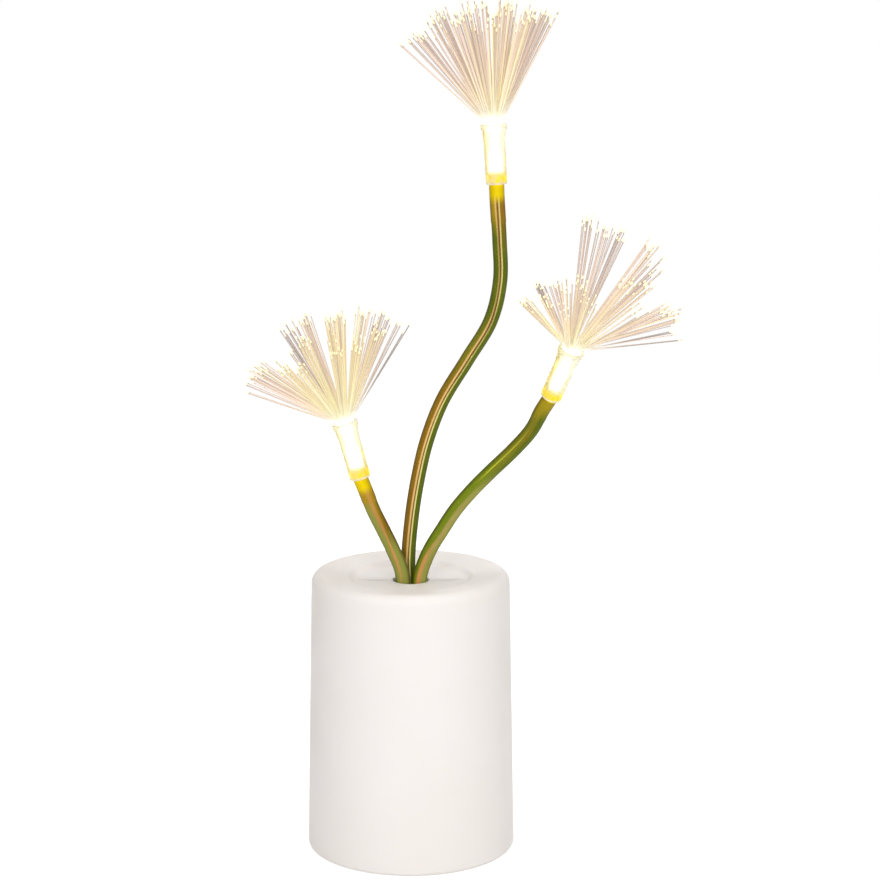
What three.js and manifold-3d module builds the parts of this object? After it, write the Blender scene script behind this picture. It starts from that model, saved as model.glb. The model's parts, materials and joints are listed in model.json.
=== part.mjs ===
// Fiber optic lamp: a white drum shaped like a pillar candle, three bendable stems out of the hole in
// its dished top, and on each stem a clear sleeve with an LED and a spray of optical fibres.
// Millimetres, +Z up. The origin is the middle of the underside, and -Y is the front.
import * as THREE from "three";
import { mergeVertices } from "three/addons/utils/BufferGeometryUtils.js";
import Module from "manifold-3d";

const wasm = await Module();
wasm.setup();

// Clearances
const fitGap = 0.3;
const slideGap = 0.4;
const bareGap = 0.1;
const overrun = 1;

// Base shell
const footRadius = 37.5;
const topRadius = 35.6;
const baseHeight = 101.8;
const topRound = 3.5;
const footRound = 2;
const wall = 2.6;
const dishRadius = 21.5;
const dishDepth = 2.8;
const holeClearance = 0.2;

// Bottom cover, its screws and the bosses that take them
const coverThickness = 3;
const coverBossRadius = 4.6;
const coverBossHeight = 14;
const coverBossInset = 6.6;
const coverScrewAngles = [30, 150, 270];
const screwHeadRadius = 2.2;
const screwHeadHeight = 1.5;
const screwShankRadius = 1.1;
const screwLength = 7;
const screwCrownShare = 0.7;

// Cells, tray and contacts
const cellRadius = 5.25;
const cellLength = 44.5;
const nubRadius = 1.9;
const nubHeight = 1;
const cellGap = 0.7;
const cellCount = 3;
const trayYShare = -0.373;
const trayWall = 1.8;
const cellClearance = 0.4;
const plateThickness = 0.4;
const plateWidth = 7;
const springSpace = 5;
const springWire = 0.3;
const springWide = 3;
const springNarrow = 1.9;
const springTurns = 3.5;
const springTurnSteps = 7;
const tagWidth = 2.4;
const tagRise = 1.5;

// Battery door, hinged at its left end
const doorThickness = 2.2;
const doorRecess = 0.2;
const knuckleRadius = 1.3;
const doorPinRadius = 0.5;
const doorPinReach = 3;

// Slide switch
const switchYShare = 0.453;
const switchLength = 13;
const switchWidth = 7;
const switchHeight = 6;
const switchWall = 1;
const knobLength = 3.4;
const knobWidth = 2.4;
const knobTravel = 3.6;
const knobFlange = 1.2;
const knobRecess = 0.5;

// Stem holder and circuit board, both hung under the top
const holderRadius = 10.5;
const holderHeight = 9.6;
const earReach = 23;
const earWidth = 9;
const earThickness = 3;
const earRise = 2;
const holderScrewX = 19.5;
const topBossRadius = 3.4;
const boardLength = 40;
const boardWidth = 27;
const boardThickness = 1.6;
const boardGap = 6.4;
const postX = 14.5;
const postRadius = 2.6;
const chipSize = 8;
const chipHeight = 1.6;

// Leads inside the base
const leadRadius = 0.7;
const leadStep = 2.5;
const leadSwayShare = 0.15;
const leadEndShare = 0.12;
const leadPlugX = 4.5;
const leadPitch = 3.2;
const switchSwayShare = 0.04;

// Stems: one tube with two conductors in it
const tubeRadius = 2.6;
const tubeWall = 0.6;
const footBendStart = 2;
const footBendLength = 8;
const neckBendLength = 9;
const tubeStep = 6;
const coreStep = 7;
const tubeSides = 8;
const coreSides = 5;

// Heads: sleeve, LED and fibres
const sleeveLength = 21.2;
const sleeveWall = 0.65;
const lipRadius = 4.6;
const lipWall = 1.1;
const lipHeight = 2.2;
const lipEdgeShare = 0.35;
const sleeveGrip = 4;
const ledRadius = 2.45;
const ledFlange = 0.35;
const ledFlangeHeight = 1;
const ledLength = 8.6;
const slugRise = 0.5;
const strandRadius = 0.2;
const strandSides = 3;
const strandScatterDegrees = 0.5;
const lengthScatterShare = 0.1;
const sprayLeanDegrees = 12;

// Each stem starts at its foot in the hole, off the middle by shares of the tube's radius, and ends at
// the lower edge of its sleeve, which stands off the foot by reach (right), forward (to the back) and
// rise. Its route between is in shares of these three.
const stems = {
  left: {
    footShares: [-1.038, -0.731], reach: -15, forward: -6.1, rise: 39.3, copperSide: 1,
    heatShrink: 9.6, sleeveTiltDegrees: -15, sleeveLeanDegrees: 4,
    routeShares: [
      [0.04, 0.04, 0.1], [0.24, 0.18, 0.3], [0.465, 0.37, 0.49], [0.7, 0.59, 0.685], [0.885, 0.83, 0.88],
    ],
  },
  middle: {
    footShares: [-0.192, 1.269], reach: 30.9, forward: 1.7, rise: 141.8, copperSide: -1,
    heatShrink: 13.8, sleeveTiltDegrees: -3, sleeveLeanDegrees: 0,
    routeShares: [
      [-0.012, 0.01, 0.045], [0.027, 0.07, 0.15], [0.098, 0.145, 0.252], [0.208, 0.235, 0.355],
      [0.387, 0.334, 0.457], [0.668, 0.443, 0.559], [0.94, 0.56, 0.66], [1.045, 0.68, 0.76],
      [1.036, 0.81, 0.861], [1.008, 0.945, 0.96],
    ],
  },
  right: {
    footShares: [1.17, -0.731], reach: 45.8, forward: -18.1, rise: 70.8, copperSide: 1,
    heatShrink: 10, sleeveTiltDegrees: 20, sleeveLeanDegrees: 25,
    routeShares: [
      [0.02, 0.018, 0.057], [0.083, 0.08, 0.165], [0.178, 0.163, 0.274], [0.28, 0.261, 0.383],
      [0.411, 0.371, 0.492], [0.563, 0.491, 0.601], [0.723, 0.619, 0.71], [0.857, 0.756, 0.819],
      [0.937, 0.899, 0.927],
    ],
  },
};

// Bundles of each spray, in rows from its back to its front: degrees to the right of upright, degrees to
// the front and degrees of spread. Upright leans back here by sprayLeanDegrees. A bundle's length is its
// share of the spray's.
const sprays = {
  left: {
    length: 42,
    bundleAngles: [
      [[-34, -36, 3], [-8, -38, 3.4], [19, -36, 3.4]],
      [[-62, -12, 3], [-30.5, -12, 4], [-4, -12, 2.8], [17, -8, 3.6]],
      [[-67, 8, 4.5], [-56.5, 8, 4], [-21, 5, 3], [8.5, 4, 3.2], [26.5, 0, 5.2]],
      [[-45, 44, 3], [-24.5, 38, 3], [-8, 16, 3], [19.5, 34, 3.2]],
      [[-35, 54, 3.6], [-5, 46, 4], [9, 44, 3.6]],
    ],
    lengthShares: [
      [0.96, 0.98, 0.98], [0.9, 1, 0.97, 0.98], [0.88, 0.9, 1, 1, 0.95], [0.92, 0.98, 0.97, 0.97],
      [0.96, 0.9, 0.95],
    ],
  },
  middle: {
    length: 45,
    bundleAngles: [
      [[-27, -28, 3], [-9, -30, 3], [13, -28, 3]],
      [[-37.5, -8, 3], [-15, -13, 2.4], [2.5, -12, 2.4], [22, -10, 2.4]],
      [[-44, 4, 4.4], [-24, 5, 2.6], [-5.5, 5, 2.2], [7, 3, 2.4], [25, 4, 2.6]],
      [[-30, 20, 2.8], [-12.5, 20, 2.4], [4.5, 20, 2.6], [16, 18, 2.4]],
      [[-20, 36, 3.2], [-1, 38, 3.2], [14, 34, 3]],
    ],
    lengthShares: [
      [0.97, 0.98, 0.98], [0.95, 0.98, 0.97, 0.98], [0.96, 0.99, 0.97, 0.97, 0.98], [1, 1, 1, 1],
      [1, 0.98, 0.98],
    ],
  },
  right: {
    length: 48,
    bundleAngles: [
      [[-12, -34, 3.4], [24, -14, 2.6], [46, -22, 3.4]],
      [[-25, -5, 3.2], [7.5, 6, 1.8], [38, 4, 2.4], [72, 8, 3]],
      [[-46, 44, 4], [-6, 48, 4.4], [14.5, 16, 3], [48, 32, 3], [80, 15, 5.6]],
      [[-29, 54, 3.4], [6, 54, 4], [38, 46, 4], [65, 28, 3]],
      [[-14, 66, 5], [18, 64, 4.6], [56, 52, 4.4]],
    ],
    lengthShares: [
      [0.58, 0.97, 1], [0.52, 0.98, 0.97, 0.82], [0.62, 0.66, 0.98, 0.82, 0.76],
      [0.68, 0.8, 0.86, 0.8], [0.72, 0.8, 0.86],
    ],
  },
};

// Materials
const makeMaterial = (color, roughness, metalness = 0) =>
  new THREE.MeshStandardMaterial({ color, roughness, metalness });
const whitePlastic = makeMaterial(0xf1ece6, 0.45);
const innerPlastic = makeMaterial(0xd8d6d0, 0.6);
const blackPlastic = makeMaterial(0x2a2a2c, 0.5);
const steel = makeMaterial(0xb9bcc0, 0.35, 1);
const nickel = makeMaterial(0xcfcdc6, 0.3, 1);
const cellJacket = makeMaterial(0x3d4650, 0.4);
const boardGreen = makeMaterial(0x1f6b3a, 0.5);
const redPlastic = makeMaterial(0xb3261e, 0.5);
const tubeGreen = makeMaterial(0x75802f, 0.25);
const copperBrown = makeMaterial(0xa9682c, 0.35);
const leafGreen = makeMaterial(0x5c7a1e, 0.4);
const amberShrink = makeMaterial(0xd9a419, 0.45);
const clearPlastic = makeMaterial(0xfbf4cf, 0.15);
const litWhite = makeMaterial(0xfffbe8, 0.2);
const fibre = makeMaterial(0xf3dcc8, 0.3);

// Booleans
function solidOf(geometry) {
  const bare = geometry.clone();
  bare.deleteAttribute("normal");
  bare.deleteAttribute("uv");
  const merged = mergeVertices(bare);
  const corners = merged.index.array;
  const kept = [];
  for (let i = 0; i < corners.length; i += 3) {
    const [a, b, c] = corners.slice(i, i + 3);
    if (a !== b && b !== c && c !== a) kept.push(a, b, c);
  }
  const vertProperties = merged.attributes.position.array;
  const triVerts = Uint32Array.from(kept);
  return new wasm.Manifold(new wasm.Mesh({ numProp: 3, vertProperties, triVerts }));
}

function geometryOf(solid) {
  const mesh = solid.getMesh();
  const geometry = new THREE.BufferGeometry();
  geometry.setAttribute("position", new THREE.BufferAttribute(mesh.vertProperties, 3));
  geometry.setIndex(new THREE.BufferAttribute(mesh.triVerts, 1));
  return geometry;
}

function join(first, ...rest) {
  return geometryOf(rest.reduce((solid, geometry) => solid.add(solidOf(geometry)), solidOf(first)));
}

function cut(body, ...tools) {
  return geometryOf(tools.reduce((solid, geometry) => solid.subtract(solidOf(geometry)), solidOf(body)));
}

// Plain shapes. A profile is a list of [radius, height], up the outside and down the inside.
function turned(profile, sides) {
  const points = profile.map(([radius, height]) => new THREE.Vector2(radius, height));
  return new THREE.LatheGeometry(points, sides).rotateX(Math.PI / 2);
}

function rod(radius, low, high, sides, x = 0, y = 0) {
  return turned([[0, low], [radius, low], [radius, high], [0, high]], sides).translate(x, y, 0);
}

function block(lowX, highX, lowY, highY, lowZ, highZ) {
  const box = new THREE.BoxGeometry(highX - lowX, highY - lowY, highZ - lowZ);
  return box.translate((lowX + highX) / 2, (lowY + highY) / 2, (lowZ + highZ) / 2);
}

function rodAlongY(radius, x, z, lowY, highY, sides) {
  return rod(radius, -highY, -lowY, sides).rotateX(Math.PI / 2).translate(x, 0, z);
}

function arc(centre, middle, radius, fromDegrees, toDegrees, steps) {
  return Array.from({ length: steps + 1 }, (_, i) => {
    const angle = THREE.MathUtils.degToRad(fromDegrees + ((toDegrees - fromDegrees) * i) / steps);
    return [centre + radius * Math.cos(angle), middle + radius * Math.sin(angle)];
  });
}

function ring(radius, sides, x = 0, y = 0) {
  return Array.from({ length: sides }, (_, i) => {
    const angle = (2 * Math.PI * i) / sides;
    return new THREE.Vector2(x + radius * Math.cos(angle), y + radius * Math.sin(angle));
  });
}

function swept(section, hole, path, stepLength) {
  const shape = new THREE.Shape(section);
  if (hole) shape.holes.push(new THREE.Path(hole));
  const steps = Math.max(2, Math.round(path.getLength() / stepLength));
  const options = { steps, extrudePath: path, bevelEnabled: false, curveSegments: 1 };
  return new THREE.ExtrudeGeometry(shape, options);
}

// A pan head screw pointing along +Z, with the underside of its head at z = 0
function screw(length) {
  const tip = screwShankRadius / 2;
  const crown = screwHeadRadius * screwCrownShare;
  return turned([
    [0, -screwHeadHeight], [crown, -screwHeadHeight], [screwHeadRadius, -screwHeadHeight / 2],
    [screwHeadRadius, 0], [screwShankRadius, 0], [screwShankRadius, length - tip], [0, length],
  ], 10);
}

const lamp = new THREE.Group();

function piece(name, geometry, material, parent = lamp) {
  const mesh = new THREE.Mesh(geometry, material);
  mesh.name = name;
  parent.add(mesh);
  return mesh;
}

// Feet of the stems in the hole, which is as wide as they need
const feet = Object.values(stems).map(({ footShares }) => footShares.map((share) => share * tubeRadius));
const footReach = Math.max(...feet.map(([x, y]) => Math.hypot(x, y)));
const holeRadius = footReach + tubeRadius + holeClearance;

// Heights under the top: stem holder, then the circuit board
const floorZ = baseHeight - dishDepth;
const ceilingZ = floorZ - wall;
const holderTop = ceilingZ - fitGap;
const holderBottom = holderTop - holderHeight;
const boardTop = holderBottom - boardGap;
const boardZ = boardTop - boardThickness;

// Base shell
const crestRadius = topRadius - topRound;
const innerFootRadius = footRadius - wall;
const innerTopRadius = topRadius - wall;
const coverTop = coverThickness + fitGap;
const coverScrewRadius = footRadius - coverBossInset;
const holderScrews = [-holderScrewX, holderScrewX];
const earBottom = holderBottom + earRise;
const earTop = earBottom + earThickness;
const pilotRadius = screwShankRadius + fitGap;

function coverScrewPlace(degrees) {
  const angle = THREE.MathUtils.degToRad(degrees);
  return [coverScrewRadius * Math.cos(angle), coverScrewRadius * Math.sin(angle)];
}

function shellGeometry() {
  const dishSteps = 5;
  const dish = Array.from({ length: dishSteps }, (_, i) => {
    const share = (i + 1) / dishSteps;
    const drop = share * share * (3 - 2 * share);
    return [crestRadius + (dishRadius - crestRadius) * share, baseHeight - dishDepth * drop];
  });
  const profile = [
    [innerFootRadius, 0],
    ...arc(footRadius - footRound, footRound, footRound, -90, 0, 3),
    ...arc(crestRadius, baseHeight - topRound, topRound, 0, 90, 5),
    ...dish,
    [holeRadius, floorZ],
    [holeRadius, ceilingZ],
    [innerTopRadius - topRound, ceilingZ],
    [innerTopRadius, ceilingZ - topRound],
    [innerFootRadius, 0],
  ];
  let solid = solidOf(turned(profile, 48));
  for (const degrees of coverScrewAngles) {
    const [x, y] = coverScrewPlace(degrees);
    const top = coverTop + coverBossHeight;
    solid = solid.add(solidOf(rod(coverBossRadius, coverTop, top, 12, x, y)));
    solid = solid.subtract(solidOf(rod(pilotRadius, 0, coverTop + screwLength + fitGap, 8, x, y)));
  }
  for (const x of holderScrews) {
    solid = solid.add(solidOf(rod(topBossRadius, earTop + fitGap, ceilingZ + overrun, 12, x)));
    solid = solid.subtract(solidOf(rod(pilotRadius, earTop, earBottom + screwLength + fitGap, 8, x)));
  }
  return geometryOf(solid);
}
piece("base_shell", shellGeometry(), whitePlastic);

// Battery tray: three cells stand in a row, open towards the door below
const trayY = footRadius * trayYShare;
const cellPitch = 2 * cellRadius + cellGap;
const rowHalf = ((cellCount - 1) * cellPitch) / 2;
const bayHalfX = rowHalf + cellRadius + cellClearance;
const bayHalfY = cellRadius + cellClearance;
const doorTop = doorRecess + doorThickness;
const doorPlateZ = doorTop + fitGap;
const cellBottom = doorPlateZ + plateThickness + fitGap;
const cellTop = cellBottom + cellLength;
const topPlateZ = cellTop + springSpace;
const bayTop = topPlateZ + plateThickness + fitGap;
const trayTop = bayTop + trayWall;
const trayHalfX = bayHalfX + trayWall;
const trayHalfY = bayHalfY + trayWall;
const cellX = Array.from({ length: cellCount }, (_, i) => i * cellPitch - rowHalf);
const tagX = cellX[0] - nubRadius;
const tagLow = trayY - tagWidth / 2;
const tagHigh = trayY + tagWidth / 2;
const strip = {
  low: cellX[2] + nubRadius + overrun,
  inner: trayHalfX + fitGap,
  outer: trayHalfX + fitGap + plateThickness,
  z: doorPlateZ + plateThickness + fitGap,
};

piece("battery_tray", cut(
  block(-trayHalfX, trayHalfX, trayY - trayHalfY, trayY + trayHalfY, coverTop, trayTop),
  block(-bayHalfX, bayHalfX, trayY - bayHalfY, trayY + bayHalfY, coverTop - overrun, bayTop),
  block(tagX - fitGap, tagX + plateThickness + fitGap, tagLow - fitGap, tagHigh + fitGap,
    bayTop - overrun, trayTop + overrun),
  block(bayHalfX - overrun, trayHalfX + overrun, tagLow - fitGap, tagHigh + fitGap,
    coverTop - overrun, strip.z + plateThickness + fitGap),
), innerPlastic);

// Cells: the outer two stand on their positive ends, the middle one is the other way up
const cellProfile = [
  [0, 0], [nubRadius, 0], [nubRadius, nubHeight], [cellRadius - nubHeight / 2, nubHeight],
  [cellRadius, nubHeight * 1.5], [cellRadius, cellLength - nubHeight / 2],
  [cellRadius - nubHeight / 2, cellLength], [0, cellLength],
];
cellX.forEach((x, i) => {
  const upturned = i % 2 === 1;
  const cell = piece(`battery_cell_${i + 1}`, turned(cellProfile, 16), cellJacket);
  cell.position.set(x, trayY, upturned ? cellTop : cellBottom);
  cell.rotation.x = upturned ? Math.PI : 0;
});

// A conical contact spring, wide at its plate and narrow at the cell
class SpringPath extends THREE.Curve {
  getPoint(t, target = new THREE.Vector3()) {
    const angle = 2 * Math.PI * springTurns * t;
    const radius = springNarrow + (springWide - springNarrow) * t;
    const height = springSpace - 2 * (fitGap + springWire);
    return target.set(radius * Math.cos(angle), radius * Math.sin(angle), height * t);
  }
}
const springLength = new SpringPath().getLength();
[0, 2].forEach((i) => {
  const step = springLength / (springTurnSteps * springTurns);
  const geometry = swept(ring(springWire, 4), null, new SpringPath(), step);
  const spring = piece(`contact_spring_${i + 1}`, geometry, steel);
  spring.position.set(cellX[i], trayY, cellTop + fitGap + springWire);
});

// Contact plates above the cells
const plateHalf = plateWidth / 2;
const plateLow = trayY - plateHalf;
const plateHigh = trayY + plateHalf;
const topPlateTop = topPlateZ + plateThickness;
piece("negative_plate", join(
  block(cellX[0] - plateHalf, cellX[0] + plateHalf, plateLow, plateHigh, topPlateZ, topPlateTop),
  block(tagX, tagX + plateThickness, tagLow, tagHigh, topPlateZ, trayTop + tagRise),
), nickel);
const leafFoot = cellTop + fitGap;
const leafX = cellX[1] + nubRadius;
piece("link_plate", join(
  block(cellX[1] - nubRadius, cellX[2] + plateHalf, plateLow, plateHigh, topPlateZ, topPlateTop),
  block(leafX, leafX + plateThickness, tagLow, tagHigh, leafFoot, topPlateTop),
  block(cellX[1] - nubRadius, leafX + plateThickness, tagLow, tagHigh, leafFoot, leafFoot + plateThickness),
), nickel);
piece("positive_strip", join(
  block(strip.inner, strip.outer, tagLow, tagHigh, strip.z, trayTop + tagRise),
  block(strip.low, strip.outer, tagLow, tagHigh, strip.z, strip.z + plateThickness),
), nickel);

// Battery door with its hinge pin and the two plates on it
const doorHalfX = bayHalfX - slideGap;
const doorHalfY = bayHalfY - slideGap;
const hingeX = -doorHalfX + knuckleRadius;
const hingeZ = doorRecess + knuckleRadius;
piece("battery_door", cut(
  join(
    block(hingeX, doorHalfX, trayY - doorHalfY, trayY + doorHalfY, doorRecess, doorTop),
    rodAlongY(knuckleRadius, hingeX, hingeZ, trayY - doorHalfY, trayY + doorHalfY, 16),
  ),
  rodAlongY(doorPinRadius + fitGap / 2, hingeX, hingeZ, trayY - doorHalfY - overrun,
    trayY + doorHalfY + overrun, 10),
), innerPlastic);
piece("door_pin", rodAlongY(doorPinRadius, hingeX, hingeZ, trayY - doorHalfY - doorPinReach,
  trayY + doorHalfY + doorPinReach, 10), steel);
const doorPlateTop = doorPlateZ + plateThickness;
piece("door_bridge_plate", block(cellX[0] - nubRadius, cellX[1] + nubRadius, plateLow, plateHigh,
  doorPlateZ, doorPlateTop), nickel);
piece("door_end_plate", block(cellX[2] - nubRadius, strip.low + tagWidth, plateLow, plateHigh,
  doorPlateZ, doorPlateTop), nickel);

// Bottom cover
const switchY = footRadius * switchYShare;
const knobHalfX = knobLength / 2;
const knobHalfY = knobWidth / 2;
const slotLow = -knobHalfX - knobTravel - slideGap;
const headRoom = screwHeadHeight + fitGap;
function coverGeometry() {
  const holes = coverScrewAngles.flatMap((degrees) => {
    const [x, y] = coverScrewPlace(degrees);
    return [
      rod(screwShankRadius + fitGap, -overrun, coverThickness + overrun, 8, x, y),
      rod(screwHeadRadius + slideGap, -overrun, headRoom + fitGap, 12, x, y),
    ];
  });
  return cut(
    rod(innerFootRadius - fitGap, 0, coverThickness, 48),
    block(-bayHalfX, bayHalfX, trayY - bayHalfY, trayY + bayHalfY, -overrun, coverThickness + overrun),
    rodAlongY(doorPinRadius + fitGap / 2, hingeX, hingeZ, trayY - doorHalfY - doorPinReach - fitGap,
      trayY + doorHalfY + doorPinReach + fitGap, 10),
    block(slotLow, knobHalfX + slideGap, switchY - knobHalfY - slideGap, switchY + knobHalfY + slideGap,
      -overrun, coverThickness + overrun),
    ...holes,
  );
}
piece("bottom_cover", coverGeometry(), whitePlastic);
coverScrewAngles.forEach((degrees, i) => {
  const [x, y] = coverScrewPlace(degrees);
  piece(`cover_screw_${i + 1}`, screw(screwLength), steel).position.set(x, y, headRoom);
});

// Slide switch on the cover, with its knob reaching down into the slot
const switchMiddle = -knobTravel / 2;
const switchBottom = coverThickness + fitGap;
const switchTop = switchBottom + switchHeight;
const cavityTop = switchBottom + switchWall + knobFlange + 2 * slideGap;
const flangeHalf = knobHalfX + overrun;
piece("switch_body", cut(
  block(switchMiddle - switchLength / 2, switchMiddle + switchLength / 2, switchY - switchWidth / 2,
    switchY + switchWidth / 2, switchBottom, switchTop),
  block(-flangeHalf - knobTravel - slideGap, flangeHalf + slideGap, switchY - switchWidth / 2 + switchWall,
    switchY + switchWidth / 2 - switchWall, switchBottom + switchWall, cavityTop),
  block(slotLow, knobHalfX + slideGap, switchY - knobHalfY - slideGap, switchY + knobHalfY + slideGap,
    switchBottom - overrun, cavityTop),
), blackPlastic);
piece("switch_knob", join(
  block(-knobHalfX, knobHalfX, switchY - knobHalfY, switchY + knobHalfY, knobRecess,
    switchBottom + switchWall + slideGap + knobFlange),
  block(-flangeHalf, flangeHalf, switchY - switchWidth / 2 + switchWall + slideGap,
    switchY + switchWidth / 2 - switchWall - slideGap, switchBottom + switchWall + slideGap,
    switchBottom + switchWall + slideGap + knobFlange),
), blackPlastic);

// Stem holder: the three tubes stand in one trefoil bore
function holderGeometry() {
  let solid = solidOf(rod(holderRadius, holderBottom, holderTop, 24));
  solid = solid.add(solidOf(block(-earReach, earReach, -earWidth / 2, earWidth / 2, earBottom, earTop)));
  for (const x of [-postX, postX]) {
    solid = solid.add(solidOf(rod(postRadius, boardTop + fitGap, earBottom + overrun, 12, x)));
    solid = solid.subtract(solidOf(rod(pilotRadius, boardTop, boardZ + screwLength + fitGap, 8, x)));
  }
  for (const x of holderScrews) {
    solid = solid.subtract(solidOf(rod(pilotRadius, earBottom - overrun, earTop + overrun, 8, x)));
  }
  for (const [x, y] of feet) {
    const bore = rod(tubeRadius + fitGap, holderBottom - overrun, holderTop + overrun, 16, x, y);
    solid = solid.subtract(solidOf(bore));
  }
  return geometryOf(solid);
}
piece("stem_holder", holderGeometry(), innerPlastic);
holderScrews.forEach((x, i) => {
  piece(`holder_screw_${i + 1}`, screw(screwLength), steel).position.set(x, 0, earBottom - fitGap);
});

// Circuit board with the controller under it
piece("circuit_board", cut(
  block(-boardLength / 2, boardLength / 2, -boardWidth / 2, boardWidth / 2, boardZ, boardTop),
  rod(pilotRadius, boardZ - overrun, boardTop + overrun, 8, -postX),
  rod(pilotRadius, boardZ - overrun, boardTop + overrun, 8, postX),
), boardGreen);
[-postX, postX].forEach((x, i) => {
  piece(`board_screw_${i + 1}`, screw(screwLength), steel).position.set(x, 0, boardZ - fitGap);
});
piece("controller_chip", block(-chipSize / 2, chipSize / 2, -chipSize / 2, chipSize / 2,
  boardZ - fitGap - chipHeight, boardZ - fitGap), blackPlastic);

// Leads from the tray and the switch up to the board
function lead(name, from, to, swayShare, material) {
  const rise = to[2] - from[2];
  const sway = rise * swayShare;
  const points = [
    new THREE.Vector3(...from),
    new THREE.Vector3(from[0], from[1], from[2] + rise * leadEndShare),
    new THREE.Vector3((from[0] + to[0]) / 2 + sway, (from[1] + to[1]) / 2, from[2] + rise / 2),
    new THREE.Vector3(to[0], to[1], to[2] - rise * leadEndShare),
    new THREE.Vector3(...to),
  ];
  const path = new THREE.CatmullRomCurve3(points, false, "centripetal");
  piece(name, swept(ring(leadRadius, 6), null, path, leadStep), material);
}
const leadTop = boardZ - fitGap;
const tagTop = trayTop + tagRise + fitGap;
const boardEdgeY = boardWidth / 2 - 2 * leadRadius;
lead("negative_lead", [tagX + plateThickness / 2, trayY, tagTop],
  [leadPlugX - leadPitch / 2, -boardEdgeY, leadTop], leadSwayShare, blackPlastic);
lead("positive_lead", [(strip.inner + strip.outer) / 2, trayY, tagTop],
  [leadPlugX + leadPitch / 2, -boardEdgeY, leadTop], leadSwayShare, redPlastic);
[-1, 1].forEach((side, i) => {
  const x = (side * switchLength) / 4;
  lead(`switch_lead_${i + 1}`, [switchMiddle + x, switchY, switchTop + fitGap],
    [x, boardEdgeY, leadTop], switchSwayShare, redPlastic);
});

// Stretch of a curve between two distances along it
class Stretch extends THREE.Curve {
  constructor(whole, from, to) {
    super();
    this.whole = whole;
    this.from = from / whole.getLength();
    this.to = to / whole.getLength();
  }

  getPoint(t, target = new THREE.Vector3()) {
    return this.whole.getPointAt(Math.min(1, this.from + (this.to - this.from) * t), target);
  }
}

// Turns a piece that stands along +Z so that it tilts to the right and leans to the front
function directionOf(tiltDegrees, leanDegrees) {
  const tilt = Math.tan(THREE.MathUtils.degToRad(tiltDegrees));
  const lean = Math.tan(THREE.MathUtils.degToRad(leanDegrees));
  return new THREE.Vector3(tilt, -lean, 1).normalize();
}

function standAlong(direction) {
  return new THREE.Quaternion().setFromUnitVectors(new THREE.Vector3(0, 0, 1), direction);
}

// Sleeve: grips the end of the tube, holds the LED and flares from there to a lip at its top
const gripRadius = tubeRadius + fitGap;
const ledZ = sleeveGrip + fitGap;
const ledTop = ledZ + ledLength;
const boreRadius = ledRadius + ledFlange + fitGap;
const sleeveRadius = boreRadius + sleeveWall;
const mouthRadius = lipRadius - lipWall;
const flareZ = ledTop + fitGap;
const lipZ = sleeveLength - lipHeight;
const sleeveProfile = [
  [gripRadius, 0], [sleeveRadius, 0], [sleeveRadius, flareZ],
  [(sleeveRadius + lipRadius) / 2, lipZ], [lipRadius, lipZ + lipHeight * lipEdgeShare],
  [lipRadius, sleeveLength], [mouthRadius, sleeveLength], [boreRadius, flareZ],
  [boreRadius, sleeveGrip + fitGap], [gripRadius, sleeveGrip], [gripRadius, 0],
];

// LED: a five millimetre dome with its flange on the end of the tube
const ledProfile = [
  [0, ledZ], [ledRadius + ledFlange, ledZ], [ledRadius + ledFlange, ledZ + ledFlangeHeight],
  [ledRadius, ledZ + ledFlangeHeight],
  ...arc(0, ledTop - ledRadius, ledRadius, 0, 90, 4),
];

// Spray: bundles of strands leave a short slug of bonded fibres at the lip. A bundle is one strand with
// six round it, which is a cell of one hexagonal pattern, and a bundle's place in that pattern is its
// place in the fan, so that no two strands cross.
const slugTop = sleeveLength + slugRise;
const slugRadius = mouthRadius - fitGap;
const bundleRings = 2;
const bundleSides = 6;
const strandsAcrossPitch = Math.sqrt(bundleSides + 1);
const strandPitch = (slugRadius - strandRadius) / (bundleRings * strandsAcrossPitch + 1);
const bundlePitch = strandsAcrossPitch * strandPitch;
const bundleTurn = Math.atan(Math.sqrt(3) / 5);
const slugProfile = [
  [0, flareZ], [boreRadius - fitGap, flareZ], [slugRadius, slugTop], [0, slugTop],
];

// Repeatable scatter between -1 and 1
function scatterFrom(seed) {
  let state = seed;
  return () => {
    state = (state * 16807) % 2147483647;
    return (2 * state) / 2147483647 - 1;
  };
}

// Direction of a strand from its place in the fan
function fanDirection(acrossDegrees, frontDegrees) {
  const across = THREE.MathUtils.degToRad(acrossDegrees);
  const front = THREE.MathUtils.degToRad(frontDegrees);
  return new THREE.Vector3(
    Math.sin(across) * Math.cos(front), -Math.sin(front), Math.cos(across) * Math.cos(front),
  ).applyQuaternion(standAlong(directionOf(0, -sprayLeanDegrees)));
}

function strandGeometry(x, y, direction, length) {
  const strand = new THREE.CylinderGeometry(strandRadius, strandRadius, length + strandPitch, strandSides);
  strand.rotateX(Math.PI / 2);
  strand.translate(0, 0, (length - strandPitch) / 2);
  strand.applyQuaternion(standAlong(direction));
  strand.translate(x, y, slugTop);
  return strand;
}

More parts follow.
